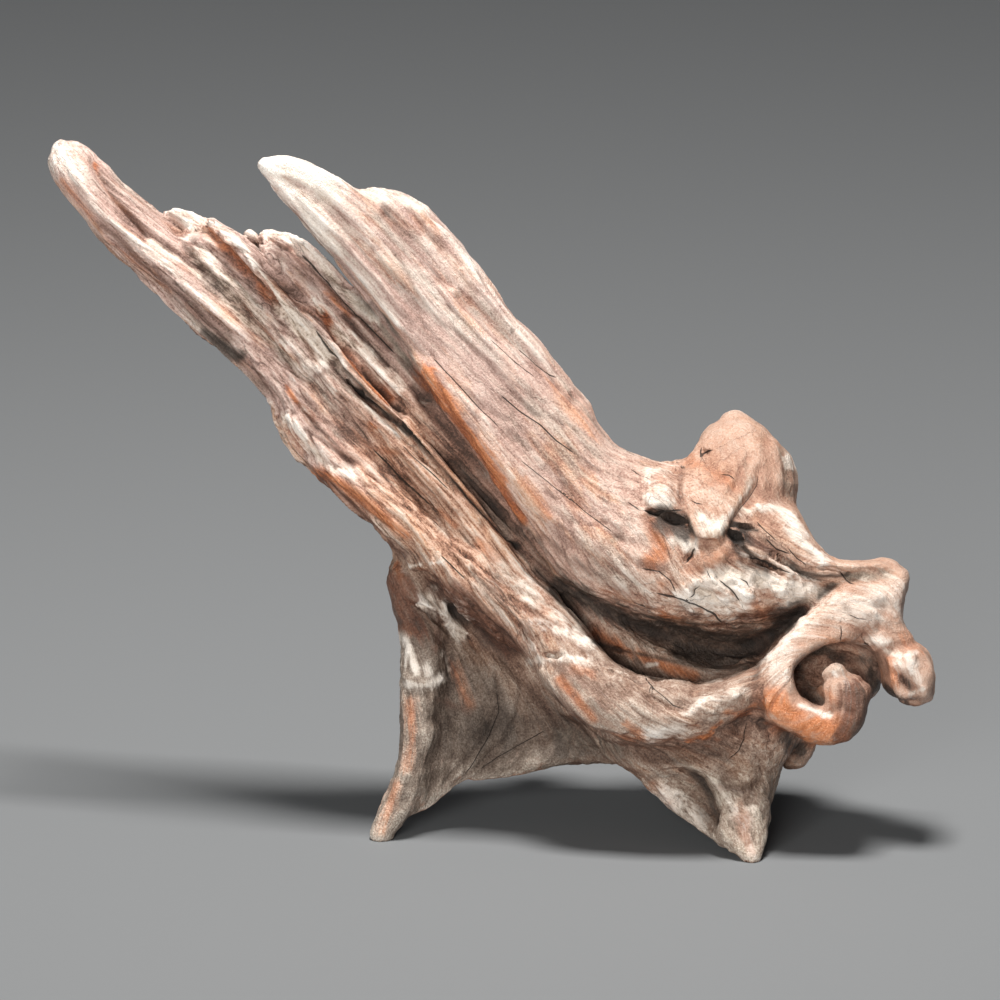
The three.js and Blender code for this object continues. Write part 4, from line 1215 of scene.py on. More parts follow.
class Noise:
    """Smooth random values between -1 and 1, one wave for each unit of the coordinates."""

    SIZE = 64

    def __init__(self, seed):
        random = np.random.default_rng(seed)
        self.lattice = random.uniform(-1, 1, (self.SIZE,) * 3).astype(np.float32)
        self.jitter = random.uniform(0, 1, (self.SIZE,) * 3 + (3,)).astype(np.float32)

    def __call__(self, where):
        whole = np.floor(where).astype(np.int64)
        f = (where - whole).astype(np.float32)
        f = f * f * f * (f * (f * 6 - 15) + 10)
        total = 0
        for dx in (0, 1):
            wx = f[:, 0] if dx else 1 - f[:, 0]
            for dy in (0, 1):
                wy = f[:, 1] if dy else 1 - f[:, 1]
                for dz in (0, 1):
                    wz = f[:, 2] if dz else 1 - f[:, 2]
                    i, j, k = ((whole[:, axis] + step) % self.SIZE
                               for axis, step in enumerate((dx, dy, dz)))
                    total = total + self.lattice[i, j, k] * (wx * wy * wz)
        return total

    def layered(self, where, layers=3, fall=0.5):
        """Noise plus finer and weaker noise: each layer is twice as fine and fall as strong."""
        total = 0
        for layer in range(layers):
            total = total + self(where * 2 ** layer + 17.3 * layer) * fall ** layer
        return total / (1 + fall)

    def bundles(self, where):
        """Cells around random points, one to each unit cube: how far a place is from its cell's
        border, as the second least distance less the least, and the height of the cell's own
        splinter there, a random value and a random slope across the fibres."""
        whole = np.floor(where).astype(np.int64)
        f = (where - whole).astype(np.float32)
        least = np.full(len(where), 9.0, np.float32)
        second = least.copy()
        value = np.zeros(len(where), np.float32)
        for step in np.ndindex(3, 3, 3):
            offset = np.array(step) - 1
            i, j, k = ((whole + offset) % self.SIZE).T
            gap = self.jitter[i, j, k] + offset.astype(np.float32) - f
            far = np.einsum("ij,ij->i", gap, gap)
            nearer = far < least
            second = np.where(nearer, least, np.minimum(second, far))
            own = self.lattice[i, j, k]
            value = np.where(nearer, 0.5 * own + 1.2 * own * gap[:, 1] + (1 - own) * gap[:, 2], value)
            least = np.where(nearer, far, least)
        return np.sqrt(second) - np.sqrt(least), value


def soft_step(value, low, high):
    """0 below low, 1 above high, and a smooth ramp between."""
    f = np.clip((value - low) / (high - low), 0, 1)
    return f * f * (3 - 2 * f)


def line_distance(x, y, line):
    """The distance on the drawing from points to a line of joined segments, negative on its one
    side and positive on its other."""
    least = np.full(len(x), 1e9)
    signed = np.full(len(x), 1e9)
    for (ax, ay), (bx, by) in zip(line[:-1], line[1:]):
        px, py = bx - ax, by - ay
        share = np.clip(((x - ax) * px + (y - ay) * py) / (px * px + py * py), 0, 1)
        away = np.hypot(x - ax - share * px, y - ay - share * py)
        side = np.where((x - ax) * py - (y - ay) * px > 0, 1.0, -1.0)
        nearer = away < least
        signed = np.where(nearer, away * side, signed)
        least = np.where(nearer, away, least)
    return signed


def painted(x, y, strokes, rag):
    """How strongly the nearest strokes mark each point: full on the line, falling to nothing at
    twice the half width. rag shifts that edge, so that the marks run along the fibres."""
    total = np.zeros(len(x))
    for width, strength, line in strokes:
        away = np.abs(line_distance(x, y, line)) / (0.8 * width)
        total = np.maximum(total, strength * soft_step(2.0 - away + rag, 0, 2.0))
    return total


class Skin:
    """The skin of the whole root: points, unit normals, triangles and values at each point."""

    def __init__(self, points, quads):
        self.points = points
        diagonal = np.linalg.norm(points[quads[:, 0]] - points[quads[:, 2]], axis=1)
        other = np.linalg.norm(points[quads[:, 1]] - points[quads[:, 3]], axis=1)
        turned = np.where((diagonal > other)[:, None], np.roll(quads, 1, axis=1), quads)
        self.triangles = np.concatenate([turned[:, [0, 1, 2]], turned[:, [0, 2, 3]]])
        a, b, c = (points[turned[:, k]] for k in range(3))
        volume = np.einsum("ij,ij->i", a, np.cross(b, c)).sum()
        if volume < 0:
            self.triangles = self.triangles[:, ::-1]
        self.values = {}
        self.find_normals()

    def find_normals(self):
        """Each point's normal is the sum of its triangles' area vectors."""
        a, b, c = (self.points[self.triangles[:, k]] for k in range(3))
        area = np.cross(b - a, c - a)
        total = np.zeros_like(self.points)
        for axis in range(3):
            for corner in range(3):
                total[:, axis] += np.bincount(
                    self.triangles[:, corner], area[:, axis], len(self.points))
        self.normals = total / (np.linalg.norm(total, axis=1, keepdims=True) + 1e-12)

    def smooth(self, rounds, strength):
        """Moves each point towards the mean of its neighbours."""
        ends = np.concatenate([self.triangles[:, [0, 1]], self.triangles[:, [1, 2]], self.triangles[:, [2, 0]]])
        count = np.bincount(ends[:, 0], minlength=len(self.points))[:, None]
        for _ in range(rounds):
            total = np.stack([
                np.bincount(ends[:, 0], self.points[ends[:, 1], axis], len(self.points))
                for axis in range(3)], axis=1)
            self.points += strength * (total / count - self.points)
        self.find_normals()


def shelter(block, reach):
    """How much wood surrounds each place, as the share of a ball of about that reach, in millimetres.
    Gives a grid with its first cell and spacing, for read_grid."""
    factor = 3
    inside = np.clip(0.5 - block.values / VOXEL, 0, 1)
    inside = inside[tuple(slice(0, n // factor * factor) for n in inside.shape)]
    nx, ny, nz = (n // factor for n in inside.shape)
    coarse = inside.reshape(nx, factor, ny, factor, nz, factor).mean(axis=(1, 3, 5))
    cells = max(1, int(round(reach / (factor * VOXEL) / 1.7)))
    first = block.first / factor + (factor - 1) / (2 * factor)
    return blurred(coarse.astype(np.float32), cells), first, factor * VOXEL


# How splintery, how lumpy and how pitted each group's wood is, in the order of GROUPS.
SPLINTERY = np.array([0.45, 1.0, 0.5, 0.12, 0.12, 0.22, 0.25])
LUMPY = np.array([0.9, 0.5, 0.45, 0.8, 0.8, 0.7, 1.0])
PITTED = np.array([0.3, 0.2, 0.2, 0.15, 0.4, 0.9, 0.8])
PEACHY = np.array([0.0, 0.0, 0.0, 0.9, 1.0, 0.0, 0.0])
# SMOKY_AND_SHADED: the dark grey-brown of the fin, the feet and part of the burl, partly their own colour and partly
# painted shade.
SMOKY_AND_SHADED = np.array([0.2, 0.0, 0.0, 0.0, 0.0, 0.95, 0.85])
ROSY = np.array([0.35, 0.2, 1.0, 0.2, 0.0, 0.0, 0.0])


def carve_relief(skin, grain, block):
    """Moves the skin along its normals, and gives each point the values that the finish needs."""
    x, y, depth = drawing(skin.points)
    g = grain.at(skin.points)
    shares = grain.shares_at(skin.points)
    splintery, lumpy, pitted = shares @ SPLINTERY, shares @ LUMPY, shares @ PITTED
    splintery *= 0.3 + 0.7 * soft_step(x, 70, 130)
    noise = Noise(7)
    fibre = Noise(11)
    away = np.array([0, math.cos(LEAN), -math.sin(LEAN)])
    front = soft_step(-(skin.normals @ away), -0.25, 0.25)
    hollow_near = read_grid(*shelter(block, 3.5), skin.points)
    hollow_far = read_grid(*shelter(block, 10.0), skin.points)

    wander = 0.35 * np.stack([noise(skin.points / 30 + 40 * axis) for axis in range(3)], axis=1)
    border, level = fibre.bundles(g / np.array([95, 8.0, 8.0]) + wander)
    broad = soft_step(border, 0.0, 0.2) * (0.6 + 0.7 * level)
    border, level = fibre.bundles(g / np.array([42, 3.2, 3.2]) + wander + 9)
    plateau = soft_step(border, 0.0, 0.3)
    narrow = plateau * (0.6 + 0.7 * level)
    strands = fibre.layered(g / np.array([40, 2.6, 2.6]) + 5, 2)
    ribs = fibre.layered(g / np.array([80, 7.5, 7.5]) + wander, 2)
    lumps = noise.layered(skin.points / 17, 3)
    dimples = noise.layered(skin.points / 3.0 + 4, 2)
    knobs = noise.layered(skin.points / 8.0 + 61, 3)
    crumple = np.exp(-(((x - 745) / 60) ** 2 + ((y - 585) / 26) ** 2)) * front

    height = splintery * (1.5 * (broad - 0.6) + 1.0 * (narrow - 0.6) + 0.4 * strands + 0.7 * ribs)
    height += lumpy * (0.8 * lumps + 0.5 * knobs) + 0.12 * strands + pitted * (0.5 * dimples + 0.8 * knobs)
    height += 3.0 * crumple * noise.layered(skin.points / 6, 3)
    height += (1 - front) * 0.9 * lumps
    for width, deep, line in GROOVES:
        height -= deep * np.exp(-(line_distance(x, y, line) / width) ** 2) * front
    thin = soft_step(hollow_far, 0.12, 0.4)
    height *= 0.3 + 0.7 * thin
    skin.points += skin.normals * height[:, None]
    skin.points[:, 2] = np.where(skin.points[:, 2] < 0.6, 0, skin.points[:, 2])
    skin.find_normals()

    # Undersides and tops by their normals: painted shade below, painted light above.
    underside_painted_shade = soft_step(-skin.normals[:, 2], 0.2, 0.85)
    # The lower burl, darker towards the bottom in the grey-brown of the fin: partly painted shade.
    low = shares[:, 0] * soft_step(y, 612, 650)
    top_painted_light = soft_step(skin.normals[:, 2], 0.3, 0.95)
    rag = 0.7 * strands + 0.5 * (narrow - 0.6) + 0.4 * lumps
    face = soft_step(-(skin.normals @ away), -0.35, 0.05)
    marks = {name: painted(x, y, strokes, rag) * face for name, strokes in STAINS_AND_PAINTED_LIGHT.items()}
    behind = 1 - face
    marks["heartwood"] += behind * soft_step(lumps + 0.6 * strands, 0.1, 0.6) * 0.5
    marks["umber_and_painted_shade"] += behind * soft_step(noise.layered(skin.points / 21 + 3, 2) + 0.5 * strands, 0.1, 0.6) * 0.7
    marks["bleached_and_highlight"] += behind * soft_step(noise.layered(skin.points / 23 + 8, 2) + 0.3 * strands, 0.25, 0.7) * 0.6
    marks["silvered"] += behind * soft_step(noise.layered(skin.points / 31 + 2, 2), 0.1, 0.6) * 0.6
    marks["smoked_and_painted_shade"] += behind * 0.15
    # Painted shade on the undersides, in umber with orange heartwood, and painted light on the tops, as paler wood.
    marks["umber_and_painted_shade"] += underside_painted_shade * (0.45 + 0.4 * lumps)
    marks["heartwood"] += underside_painted_shade * (0.25 + 0.6 * noise.layered(skin.points / 9 + 31, 2))
    marks["bleached_and_highlight"] += top_painted_light * (0.08 + 0.5 * lumps) * (1 - shares @ PEACHY)
    pale = soft_step(430 - x, 0, 150) * (1 - underside_painted_shade)
    nearest = np.full(len(x), 1e9)
    side = np.full(len(x), 3.0)
    wide = np.zeros(len(x))
    for half_width, line in CRACKS:
        signed = line_distance(x, y, line) * STEP
        ends = soft_step(np.hypot(x - line[0][0], y - line[0][1]) * STEP, 0.2, 2.0)
        ends *= soft_step(np.hypot(x - line[-1][0], y - line[-1][1]) * STEP, 0.2, 2.0)
        nearer = np.abs(signed) < nearest
        nearest = np.where(nearer, np.abs(signed), nearest)
        side = np.where(nearer, signed, side)
        wide = np.where(nearer, half_width * ends, wide)
    # How enclosed each place is; the finish paints enclosed places darker with it, as painted shade in the recesses.
    hollow = np.clip((hollow_near - 0.5) * 1.6 + (hollow_far - 0.5) * 1.5, -1, 1)
    stain = np.stack([marks[name] for name in ("heartwood", "umber_and_painted_shade", "bleached_and_highlight", "smoked_and_painted_shade")], axis=1)
    skin.values["grain"] = g
    skin.values["stain"] = np.clip(stain, 0, 1)
    # wear holds the silvered wear, the peach share, the enclosure that drives painted shade, and the relief height.
    skin.values["wear"] = np.clip(np.stack([
        marks["silvered"],
        shares @ PEACHY,
        0.5 + 0.5 * hollow,
        0.5 + height / 3.0,
    ], axis=1), 0, 1)
    skin.values["zone"] = np.clip(np.stack([
        shares @ SMOKY_AND_SHADED + 0.4 * low,
        shares @ ROSY + 0.8 * pale,
        np.maximum.reduce([shares @ PEACHY, 0.9 * (shares @ SMOKY_AND_SHADED), 0.65 * (shares @ ROSY), 0.9 * crumple, 0.6 * low]),
        (1 - plateau) * (0.2 + 0.8 * splintery),
    ], axis=1), 0, 1)
    skin.values["crack"] = np.stack([np.clip(side, -3, 3), wide * face, nearest * 0], axis=1)


# The forks at which the root is parted, in the CAD's order: the node, and one or two planes, each
# through three points of the drawing. The node lies to the left of somebody who walks from the
# first point to the second.
FORKS = [
    ("left_fin", [(610, 770, 0), (380, 545, 0), (380, 545, 100)]),
    ("rear_foot", [(700, 690, 50), (800, 690, 50), (700, 800, 28)]),
    ("front_foot", [(800, 768, 0), (590, 752, 0), (590, 752, 100)]),
    ("root_loop", [(846, 556, 0), (752, 716, 0), (752, 716, 100)]),
    ("crown", [(676, 466, 0), (806, 530, 0), (806, 530, 100)],
     [(676, 300, 0), (676, 466, 0), (676, 466, 100)]),
    ("limbs", [(395, 560, 0), (650, 455, 0), (650, 455, 100)],
     [(650, 455, 0), (650, 300, 0), (650, 300, 100)]),
    ("lower_limb", [(500, 480, 0), (270, 180, 0), (270, 180, 100)]),
]


def plane_distance(points, corners):
    """The signed distance of points from the plane through three points of the drawing."""
    a, b, c = (place(*map(float, corner)) for corner in corners)
    normal = np.cross(b - a, c - a)
    return (points - a) @ (normal / np.linalg.norm(normal))


def snap_to_plane(skin, chosen, corners):
    """Slides points along edges that cross a plane until they lie on it, and gives the distances.

    Of the two ends of a crossing edge the nearer one moves, so that afterwards no edge crosses."""
    distance = plane_distance(skin.points, corners)
    triangles = skin.triangles[chosen]
    ends = np.concatenate([triangles[:, [0, 1]], triangles[:, [1, 2]], triangles[:, [2, 0]]])
    ends = ends[distance[ends[:, 0]] * distance[ends[:, 1]] < 0]
    nearer = np.abs(distance[ends[:, 0]]) <= np.abs(distance[ends[:, 1]])
    ends = np.where(nearer[:, None], ends, ends[:, ::-1])
    moving, other = ends.T
    share = np.abs(distance[moving]) / (np.abs(distance[moving]) + np.abs(distance[other]))
    _, once = np.unique(moving, return_index=True)
    moving, other, share = moving[once], other[once], share[once][:, None]
    for values in [skin.points, skin.normals, *skin.values.values()]:
        values[moving] = values[moving] * (1 - share) + values[other] * share
    distance[moving] = 0
    return distance


def part_at_forks(skin):
    """The node of each triangle."""
    label = np.zeros(len(skin.triangles), int)
    names = ["burl"]
    for name, *planes in FORKS:
        parent = names.index("limbs") if name == "lower_limb" else 0
        chosen = label == parent
        beyond = chosen.copy()
        for corners in planes:
            distance = snap_to_plane(skin, chosen, corners)
            beyond &= distance[skin.triangles].sum(axis=1) > 0
        names.append(name)
        label[beyond] = len(names) - 1
    names[names.index("limbs")] = "upper_blade"
    return label, names


def outlines(edges, points):
    """Joins directed edges end to end into closed outlines, each a list of points.

    Where three pieces meet, the outline runs on through the wood, straight away from the eye: from
    the end of one chain of edges to the start of the chain that is nearest to it on the drawing."""
    following = {}
    for start, end in edges.tolist():
        following.setdefault(start, []).append(end)
    starts = list(following)
    arrived = set(edges[:, 1].tolist())
    starts.sort(key=lambda point: point in arrived)
    closed, broken = [], []
    for start in starts:
        while following.get(start):
            chain = [start]
            while following.get(chain[-1]):
                chain.append(following[chain[-1]].pop())
            if chain[0] == chain[-1]:
                closed.append(chain[:-1])
            else:
                broken.append(chain)
    while broken:
        chain = broken.pop(0)
        while broken:
            ends = [chain[-1], chain[0], *(other[0] for other in broken)]
            x, y, _ = drawing(points[ends])
            gaps = np.hypot(x - x[0], y - y[0])[1:]
            nearest = int(gaps.argmin())
            if nearest == 0:
                break
            chain = chain + broken.pop(nearest - 1)
        closed.append(chain)
    return [chain for chain in closed if len(chain) > 2]


def cap(points, chain):
    """Triangles that close one outline of a piece, facing out of it."""
    corners = points[chain]
    area = np.cross(corners, np.roll(corners, -1, axis=0)).sum(axis=0)
    found = np.array(tessellate_polygon([[Vector(corner) for corner in corners]]))
    a, b, c = (corners[found[:, k]] for k in range(3))
    facing = np.cross(b - a, c - a) @ area < 0
    return np.array(chain)[np.where(facing[:, None], found, found[:, ::-1])]


def all_caps(skin, label, pieces):
    """For each piece, the triangles that close it where its neighbours were parted from it."""
    count = len(skin.points)
    edges = np.stack([skin.triangles, np.roll(skin.triangles, -1, axis=1)], axis=-1).reshape(-1, 2)
    owner = np.repeat(label, 3)
    keys = edges.min(axis=1) * count + edges.max(axis=1)
    order = np.argsort(keys, kind="stable").reshape(-1, 2)
    apart = order[owner[order[:, 0]] != owner[order[:, 1]]]
    apart = np.concatenate([apart, apart[:, ::-1]])
    caps = [[] for _ in range(pieces)]
    for first in range(pieces):
        for second in range(pieces):
            pair = apart[(owner[apart[:, 0]] == first) & (owner[apart[:, 1]] == second), 0]
            if len(pair) < 3:
                continue
            for chain in outlines(edges[pair], skin.points):
                caps[first].append(cap(skin.points, chain))
    return caps


def make_piece(name, skin, triangles, caps):
    """A piece of the skin with its caps, smooth across the forks by the whole skin's normals."""
    everything = np.concatenate([triangles, *caps]) if caps else triangles
    used, local = np.unique(everything, return_inverse=True)
    local = local.reshape(-1, 3)
    mesh = bpy.data.meshes.new(name)
    mesh.vertices.add(len(used))
    mesh.vertices.foreach_set("co", (skin.points[used] * MM).astype(np.float32).ravel())
    mesh.loops.add(local.size)
    mesh.loops.foreach_set("vertex_index", local.astype(np.int32).ravel())
    mesh.polygons.add(len(local))
    mesh.polygons.foreach_set("loop_start", np.arange(0, local.size, 3, dtype=np.int32))
    mesh.update(calc_edges=True)
    mesh.polygons.foreach_set("use_smooth", np.ones(len(local), bool))
    for key, values in skin.values.items():
        kind, field = ("FLOAT_VECTOR", "vector") if values.shape[1] == 3 else ("FLOAT_COLOR", "color")
        layer = mesh.attributes.new(key, kind, "POINT")
        layer.data.foreach_set(field, values[used].astype(np.float32).ravel())
    mesh.normals_split_custom_set_from_vertices(skin.normals[used].astype(np.float32))
    piece = bpy.data.objects.new(name + "_wood", mesh)
    bpy.context.scene.collection.objects.link(piece)
    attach(piece, "root")
    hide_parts(name)
    return piece


def linear(code):
    """An sRGB hex colour as the linear colour that a shader takes."""
    shares = [int(code[k:k + 2], 16) / 255 for k in (1, 3, 5)]
    return [v / 12.92 if v <= 0.04045 else ((v + 0.055) / 1.055) ** 2.4 for v in shares] + [1.0]


def add_node(tree, kind, settings=None, links=None):
    """Adds a node and gives its first used output. settings are the node's properties, with the
    stops of a colour ramp as pairs of place and colour, and links are its inputs by name or
    number, each a socket or a plain value."""
    node = tree.nodes.new(kind)
    for key, value in (settings or {}).items():
        if key == "stops":
            for _ in value[2:]:
                node.color_ramp.elements.new(0.5)
            for element, (share, code) in zip(node.color_ramp.elements, value):
                element.position = share
                element.color = linear(code)
        else:
            setattr(node, key, value)
    for key, value in (links or {}).items():
        if isinstance(value, bpy.types.NodeSocket):
            tree.links.new(value, node.inputs[key])
        else:
            node.inputs[key].default_value = value
    return next((socket for socket in node.outputs if socket.enabled), None)


# Each finish from its grooves to its ridges: pairs of tone and colour.
BROWN = [(0.0, "#40281a"), (0.2, "#82543c"), (0.38, "#b08063"), (0.54, "#d0a78d"), (0.74, "#e3c6b0"), (1.0, "#f3e4d8")]
ROSY_GREY = [(0.0, "#654d44"), (0.22, "#987b71"), (0.42, "#b99b92"), (0.6, "#ceb3a9"), (0.8, "#ddc9c1"), (1.0, "#eee2dc")]
PEACH = [(0.0, "#6c483a"), (0.25, "#957060"), (0.5, "#ae8a78"), (0.75, "#c0a292"), (1.0, "#d8c6ba")]
GREY_BROWN = [(0.0, "#1f1814"), (0.3, "#463b34"), (0.52, "#685c53"), (0.7, "#8f8379"), (0.86, "#c0b6ab"), (1.0, "#e2dacf")]
# Ramps of the silvered, heartwood, umber (with painted shade) and bleached (with painted highlights) marks.
STAIN_AND_PAINTED_LIGHT_STOPS = [
    [(0.0, "#4a423b"), (0.4, "#8b7e71"), (0.7, "#b8ac9d"), (1.0, "#ddd4c8")],
    [(0.0, "#542a15"), (0.35, "#944e27"), (0.65, "#c37543"), (1.0, "#e0a077")],
    [(0.0, "#20140f"), (0.4, "#4e2d20"), (0.75, "#744935"), (1.0, "#966a55")],
    [(0.0, "#a4917f"), (0.3, "#dccdbf"), (0.6, "#f0e6dd"), (1.0, "#fffaf5")],
]
BLUSH = [(0.0, "#4b2511"), (0.3, "#9a5930"), (0.55, "#cc9468"), (0.8, "#e6bd9c"), (1.0, "#f6e0cc")]
ASH = [(0.0, "#46403a"), (0.3, "#857b71"), (0.55, "#b6aca1"), (0.8, "#d9d1c7"), (1.0, "#f3eee6")]
# DIRT_AND_PAINTED_SHADE darkens enclosed places: dirt and painted shade.
DIRT_AND_PAINTED_SHADE = [(0.0, "#120c08"), (0.5, "#291c15"), (1.0, "#6d5443")]
# SOOT_AND_PAINTED_SHADE colours the dark marks, most of them painted shadow.
SOOT_AND_PAINTED_SHADE = [(0.0, "#0d0b09"), (0.4, "#2a211b"), (0.7, "#4b3f38"), (1.0, "#73685f")]


def driftwood_material():
    """Bare weathered root wood, brushed and rubbed by hand: rosy grey where it is worn, brown to orange heartwood
    in the grooves, and a dull gloss on the ridges. Enclosed places and undersides are painted darker, as painted
    shade, and some pale marks are painted highlights."""
    material = bpy.data.materials.new("weathered_wood")
    material.use_nodes = True
    tree = material.node_tree
    tree.nodes.clear()
    maths = "ShaderNodeMath"
    noise = "ShaderNodeTexNoise"
    spread = "ShaderNodeMapRange"
    ramp = "ShaderNodeValToRGB"

    # The marks, some of them painted shade and painted highlights, and the enclosure that drives painted shade.
    stains_and_painted_light_node = add_node(tree, "ShaderNodeAttribute", {"attribute_name": "stain"}).node
    wear_and_shade_node = add_node(tree, "ShaderNodeAttribute", {"attribute_name": "wear"}).node
    zone_node = add_node(tree, "ShaderNodeAttribute", {"attribute_name": "zone"}).node
    stain = add_node(tree, "ShaderNodeSeparateColor", {}, {0: stains_and_painted_light_node.outputs["Color"]}).node
    wear = add_node(tree, "ShaderNodeSeparateColor", {}, {0: wear_and_shade_node.outputs["Color"]}).node
    zone = add_node(tree, "ShaderNodeSeparateColor", {}, {0: zone_node.outputs["Color"]}).node
    heartwood, umber_and_painted_shade, bleached_and_highlight = stain.outputs
    smoked_and_painted_shade = stains_and_painted_light_node.outputs["Alpha"]
    silvered, peach, hollow = wear.outputs
    height = wear_and_shade_node.outputs["Alpha"]
    smoky_and_shaded, rosy, smooth = zone.outputs
    crease = zone_node.outputs["Alpha"]
    grain = add_node(tree, "ShaderNodeAttribute", {"attribute_name": "grain"}).node.outputs["Vector"]
    crack = add_node(tree, "ShaderNodeAttribute", {"attribute_name": "crack"}).node.outputs["Vector"]
    crack = add_node(tree, "ShaderNodeSeparateXYZ", {}, {0: crack}).node
    surface = add_node(tree, "ShaderNodeTexCoord").node.outputs["Object"]

    # Noise along the fibres: its length and width in millimetres, and how far it is shifted.
    waves = {}
    for name, length, width, shift, detail in (
            ("thread", 6.0, 0.75, 0.0, 2.0),
            ("fibre", 16.0, 1.1, 7.0, 3.0),
            ("streak", 42.0, 2.6, 13.0, 3.0),
            ("band", 85.0, 7.0, 3.0, 3.0),
            ("blush", 34.0, 9.0, 31.0, 4.0),
            ("ash", 40.0, 8.0, 43.0, 4.0),
            ("check", 60.0, 5.0, 21.0, 1.0),
            ("check_place", 30.0, 12.0, 5.0, 2.0)):
        mapped = add_node(tree, "ShaderNodeMapping", {"vector_type": "POINT"}, {
            "Vector": grain, "Location": (shift, shift, shift), "Scale": (1 / length, 1 / width, 1 / width)})
        waves[name] = add_node(tree, noise, {}, {
            "Vector": mapped, "Scale": 1.0, "Detail": detail, "Roughness": 0.65})
    # Noise that is the same in all directions: waves to the metre.
    waves["fuzz"] = add_node(tree, noise, {}, {"Vector": surface, "Scale": 1300.0, "Detail": 3.0, "Roughness": 0.7})
    waves["mottle"] = add_node(tree, noise, {}, {"Vector": surface, "Scale": 110.0, "Detail": 5.0, "Roughness": 0.65})

    # How light the wood is, from 0 in the grooves to 1 on the ridges, and darker where the wood is enclosed, as
    #     painted shade. The fibres show less on the lumpy wood of the crown and the loop, and on the web.
    fibrous = 0.0
    for name, weight in (("thread", 1.0), ("fibre", 0.75), ("streak", 0.6), ("band", 0.55)):
        even = add_node(tree, maths, {"operation": "SUBTRACT"}, {0: waves[name], 1: 0.5})
        fibrous = add_node(tree, maths, {"operation": "MULTIPLY_ADD"}, {0: even, 1: weight, 2: fibrous})
    plain = add_node(tree, maths, {"operation": "MULTIPLY_ADD"}, {0: smooth, 1: -0.9, 2: 1.0})
    tone = add_node(tree, maths, {"operation": "MULTIPLY_ADD"}, {0: fibrous, 1: plain, 2: 0.59})
    for name, weight in (("fuzz", 0.9), ("mottle", 0.5)):
        even = add_node(tree, maths, {"operation": "SUBTRACT"}, {0: waves[name], 1: 0.5})
        tone = add_node(tree, maths, {"operation": "MULTIPLY_ADD"}, {0: even, 1: weight, 2: tone})
    # The relief height lightens the ridges; the enclosure darkens the recesses as painted shade.
    for value, middle, weight in ((height, 0.5, 0.4), (hollow, 0.5, -0.6), (crease, 0.0, -0.22)):
        even = add_node(tree, maths, {"operation": "SUBTRACT"}, {0: value, 1: middle})
        tone = add_node(tree, maths, {"operation": "MULTIPLY_ADD"}, {0: even, 1: weight, 2: tone})

    # How a finish's edge wanders.
    edge = -1.25
    for name, weight in (("streak", 1.0), ("mottle", 0.8), ("thread", 0.7)):
        edge = add_node(tree, maths, {"operation": "MULTIPLY_ADD"}, {0: waves[name], 1: weight, 2: edge})

    colour = add_node(tree, ramp, {"stops": BROWN}, {0: tone})
    # The smoky share paints the fin, the feet and the lower burl grey-brown, partly as painted shade.
    for mask, full, stops in ((rosy, 1.0, ROSY_GREY), (smoky_and_shaded, 1.0, GREY_BROWN), (peach, 0.9, PEACH)):
        share = add_node(tree, maths, {"operation": "MULTIPLY"}, {0: mask, 1: full})
        tinted = add_node(tree, ramp, {"stops": stops}, {0: tone})
        colour = add_node(tree, "ShaderNodeMix", {"data_type": "RGBA"}, {0: share, 6: colour, 7: tinted})
    open_grained = add_node(tree, maths, {"operation": "MULTIPLY_ADD"}, {0: peach, 1: -0.8, 2: 1.0})
    open_grained = add_node(tree, maths, {"operation": "SUBTRACT"}, {0: open_grained, 1: smoky_and_shaded})
    open_grained = add_node(tree, maths, {"operation": "MAXIMUM"}, {0: open_grained, 1: 0.0})
    for wave, stops, most in ((waves["blush"], BLUSH, 0.5), (waves["ash"], ASH, 0.6)):
        share = add_node(tree, spread, {"interpolation_type": "SMOOTHSTEP"}, {0: wave, 1: 0.5, 2: 0.68, 4: most})
        share = add_node(tree, maths, {"operation": "MULTIPLY"}, {0: share, 1: open_grained})
        tinted = add_node(tree, ramp, {"stops": stops}, {0: tone})
        colour = add_node(tree, "ShaderNodeMix", {"data_type": "RGBA"}, {0: share, 6: colour, 7: tinted})
    for mask, stops in zip((silvered, heartwood, umber_and_painted_shade, bleached_and_highlight, smoked_and_painted_shade), (*STAIN_AND_PAINTED_LIGHT_STOPS, SOOT_AND_PAINTED_SHADE)):
        share = add_node(tree, maths, {"operation": "ADD"}, {0: mask, 1: edge})
        share = add_node(tree, spread, {"interpolation_type": "SMOOTHSTEP"}, {0: share, 1: 0.05, 2: 1.0, 4: 0.94})
        tinted = add_node(tree, ramp, {"stops": stops}, {0: tone})
        colour = add_node(tree, "ShaderNodeMix", {"data_type": "RGBA"}, {0: share, 6: colour, 7: tinted})
    # Enclosed places are painted near black: dirt and painted shade in the recesses.
    dirt_and_painted_shade = add_node(tree, spread, {"interpolation_type": "SMOOTHSTEP"}, {0: hollow, 1: 0.63, 2: 0.92, 4: 0.9})
    tinted = add_node(tree, ramp, {"stops": DIRT_AND_PAINTED_SHADE}, {0: tone})
    colour = add_node(tree, "ShaderNodeMix", {"data_type": "RGBA"}, {0: dirt_and_painted_shade, 6: colour, 7: tinted})

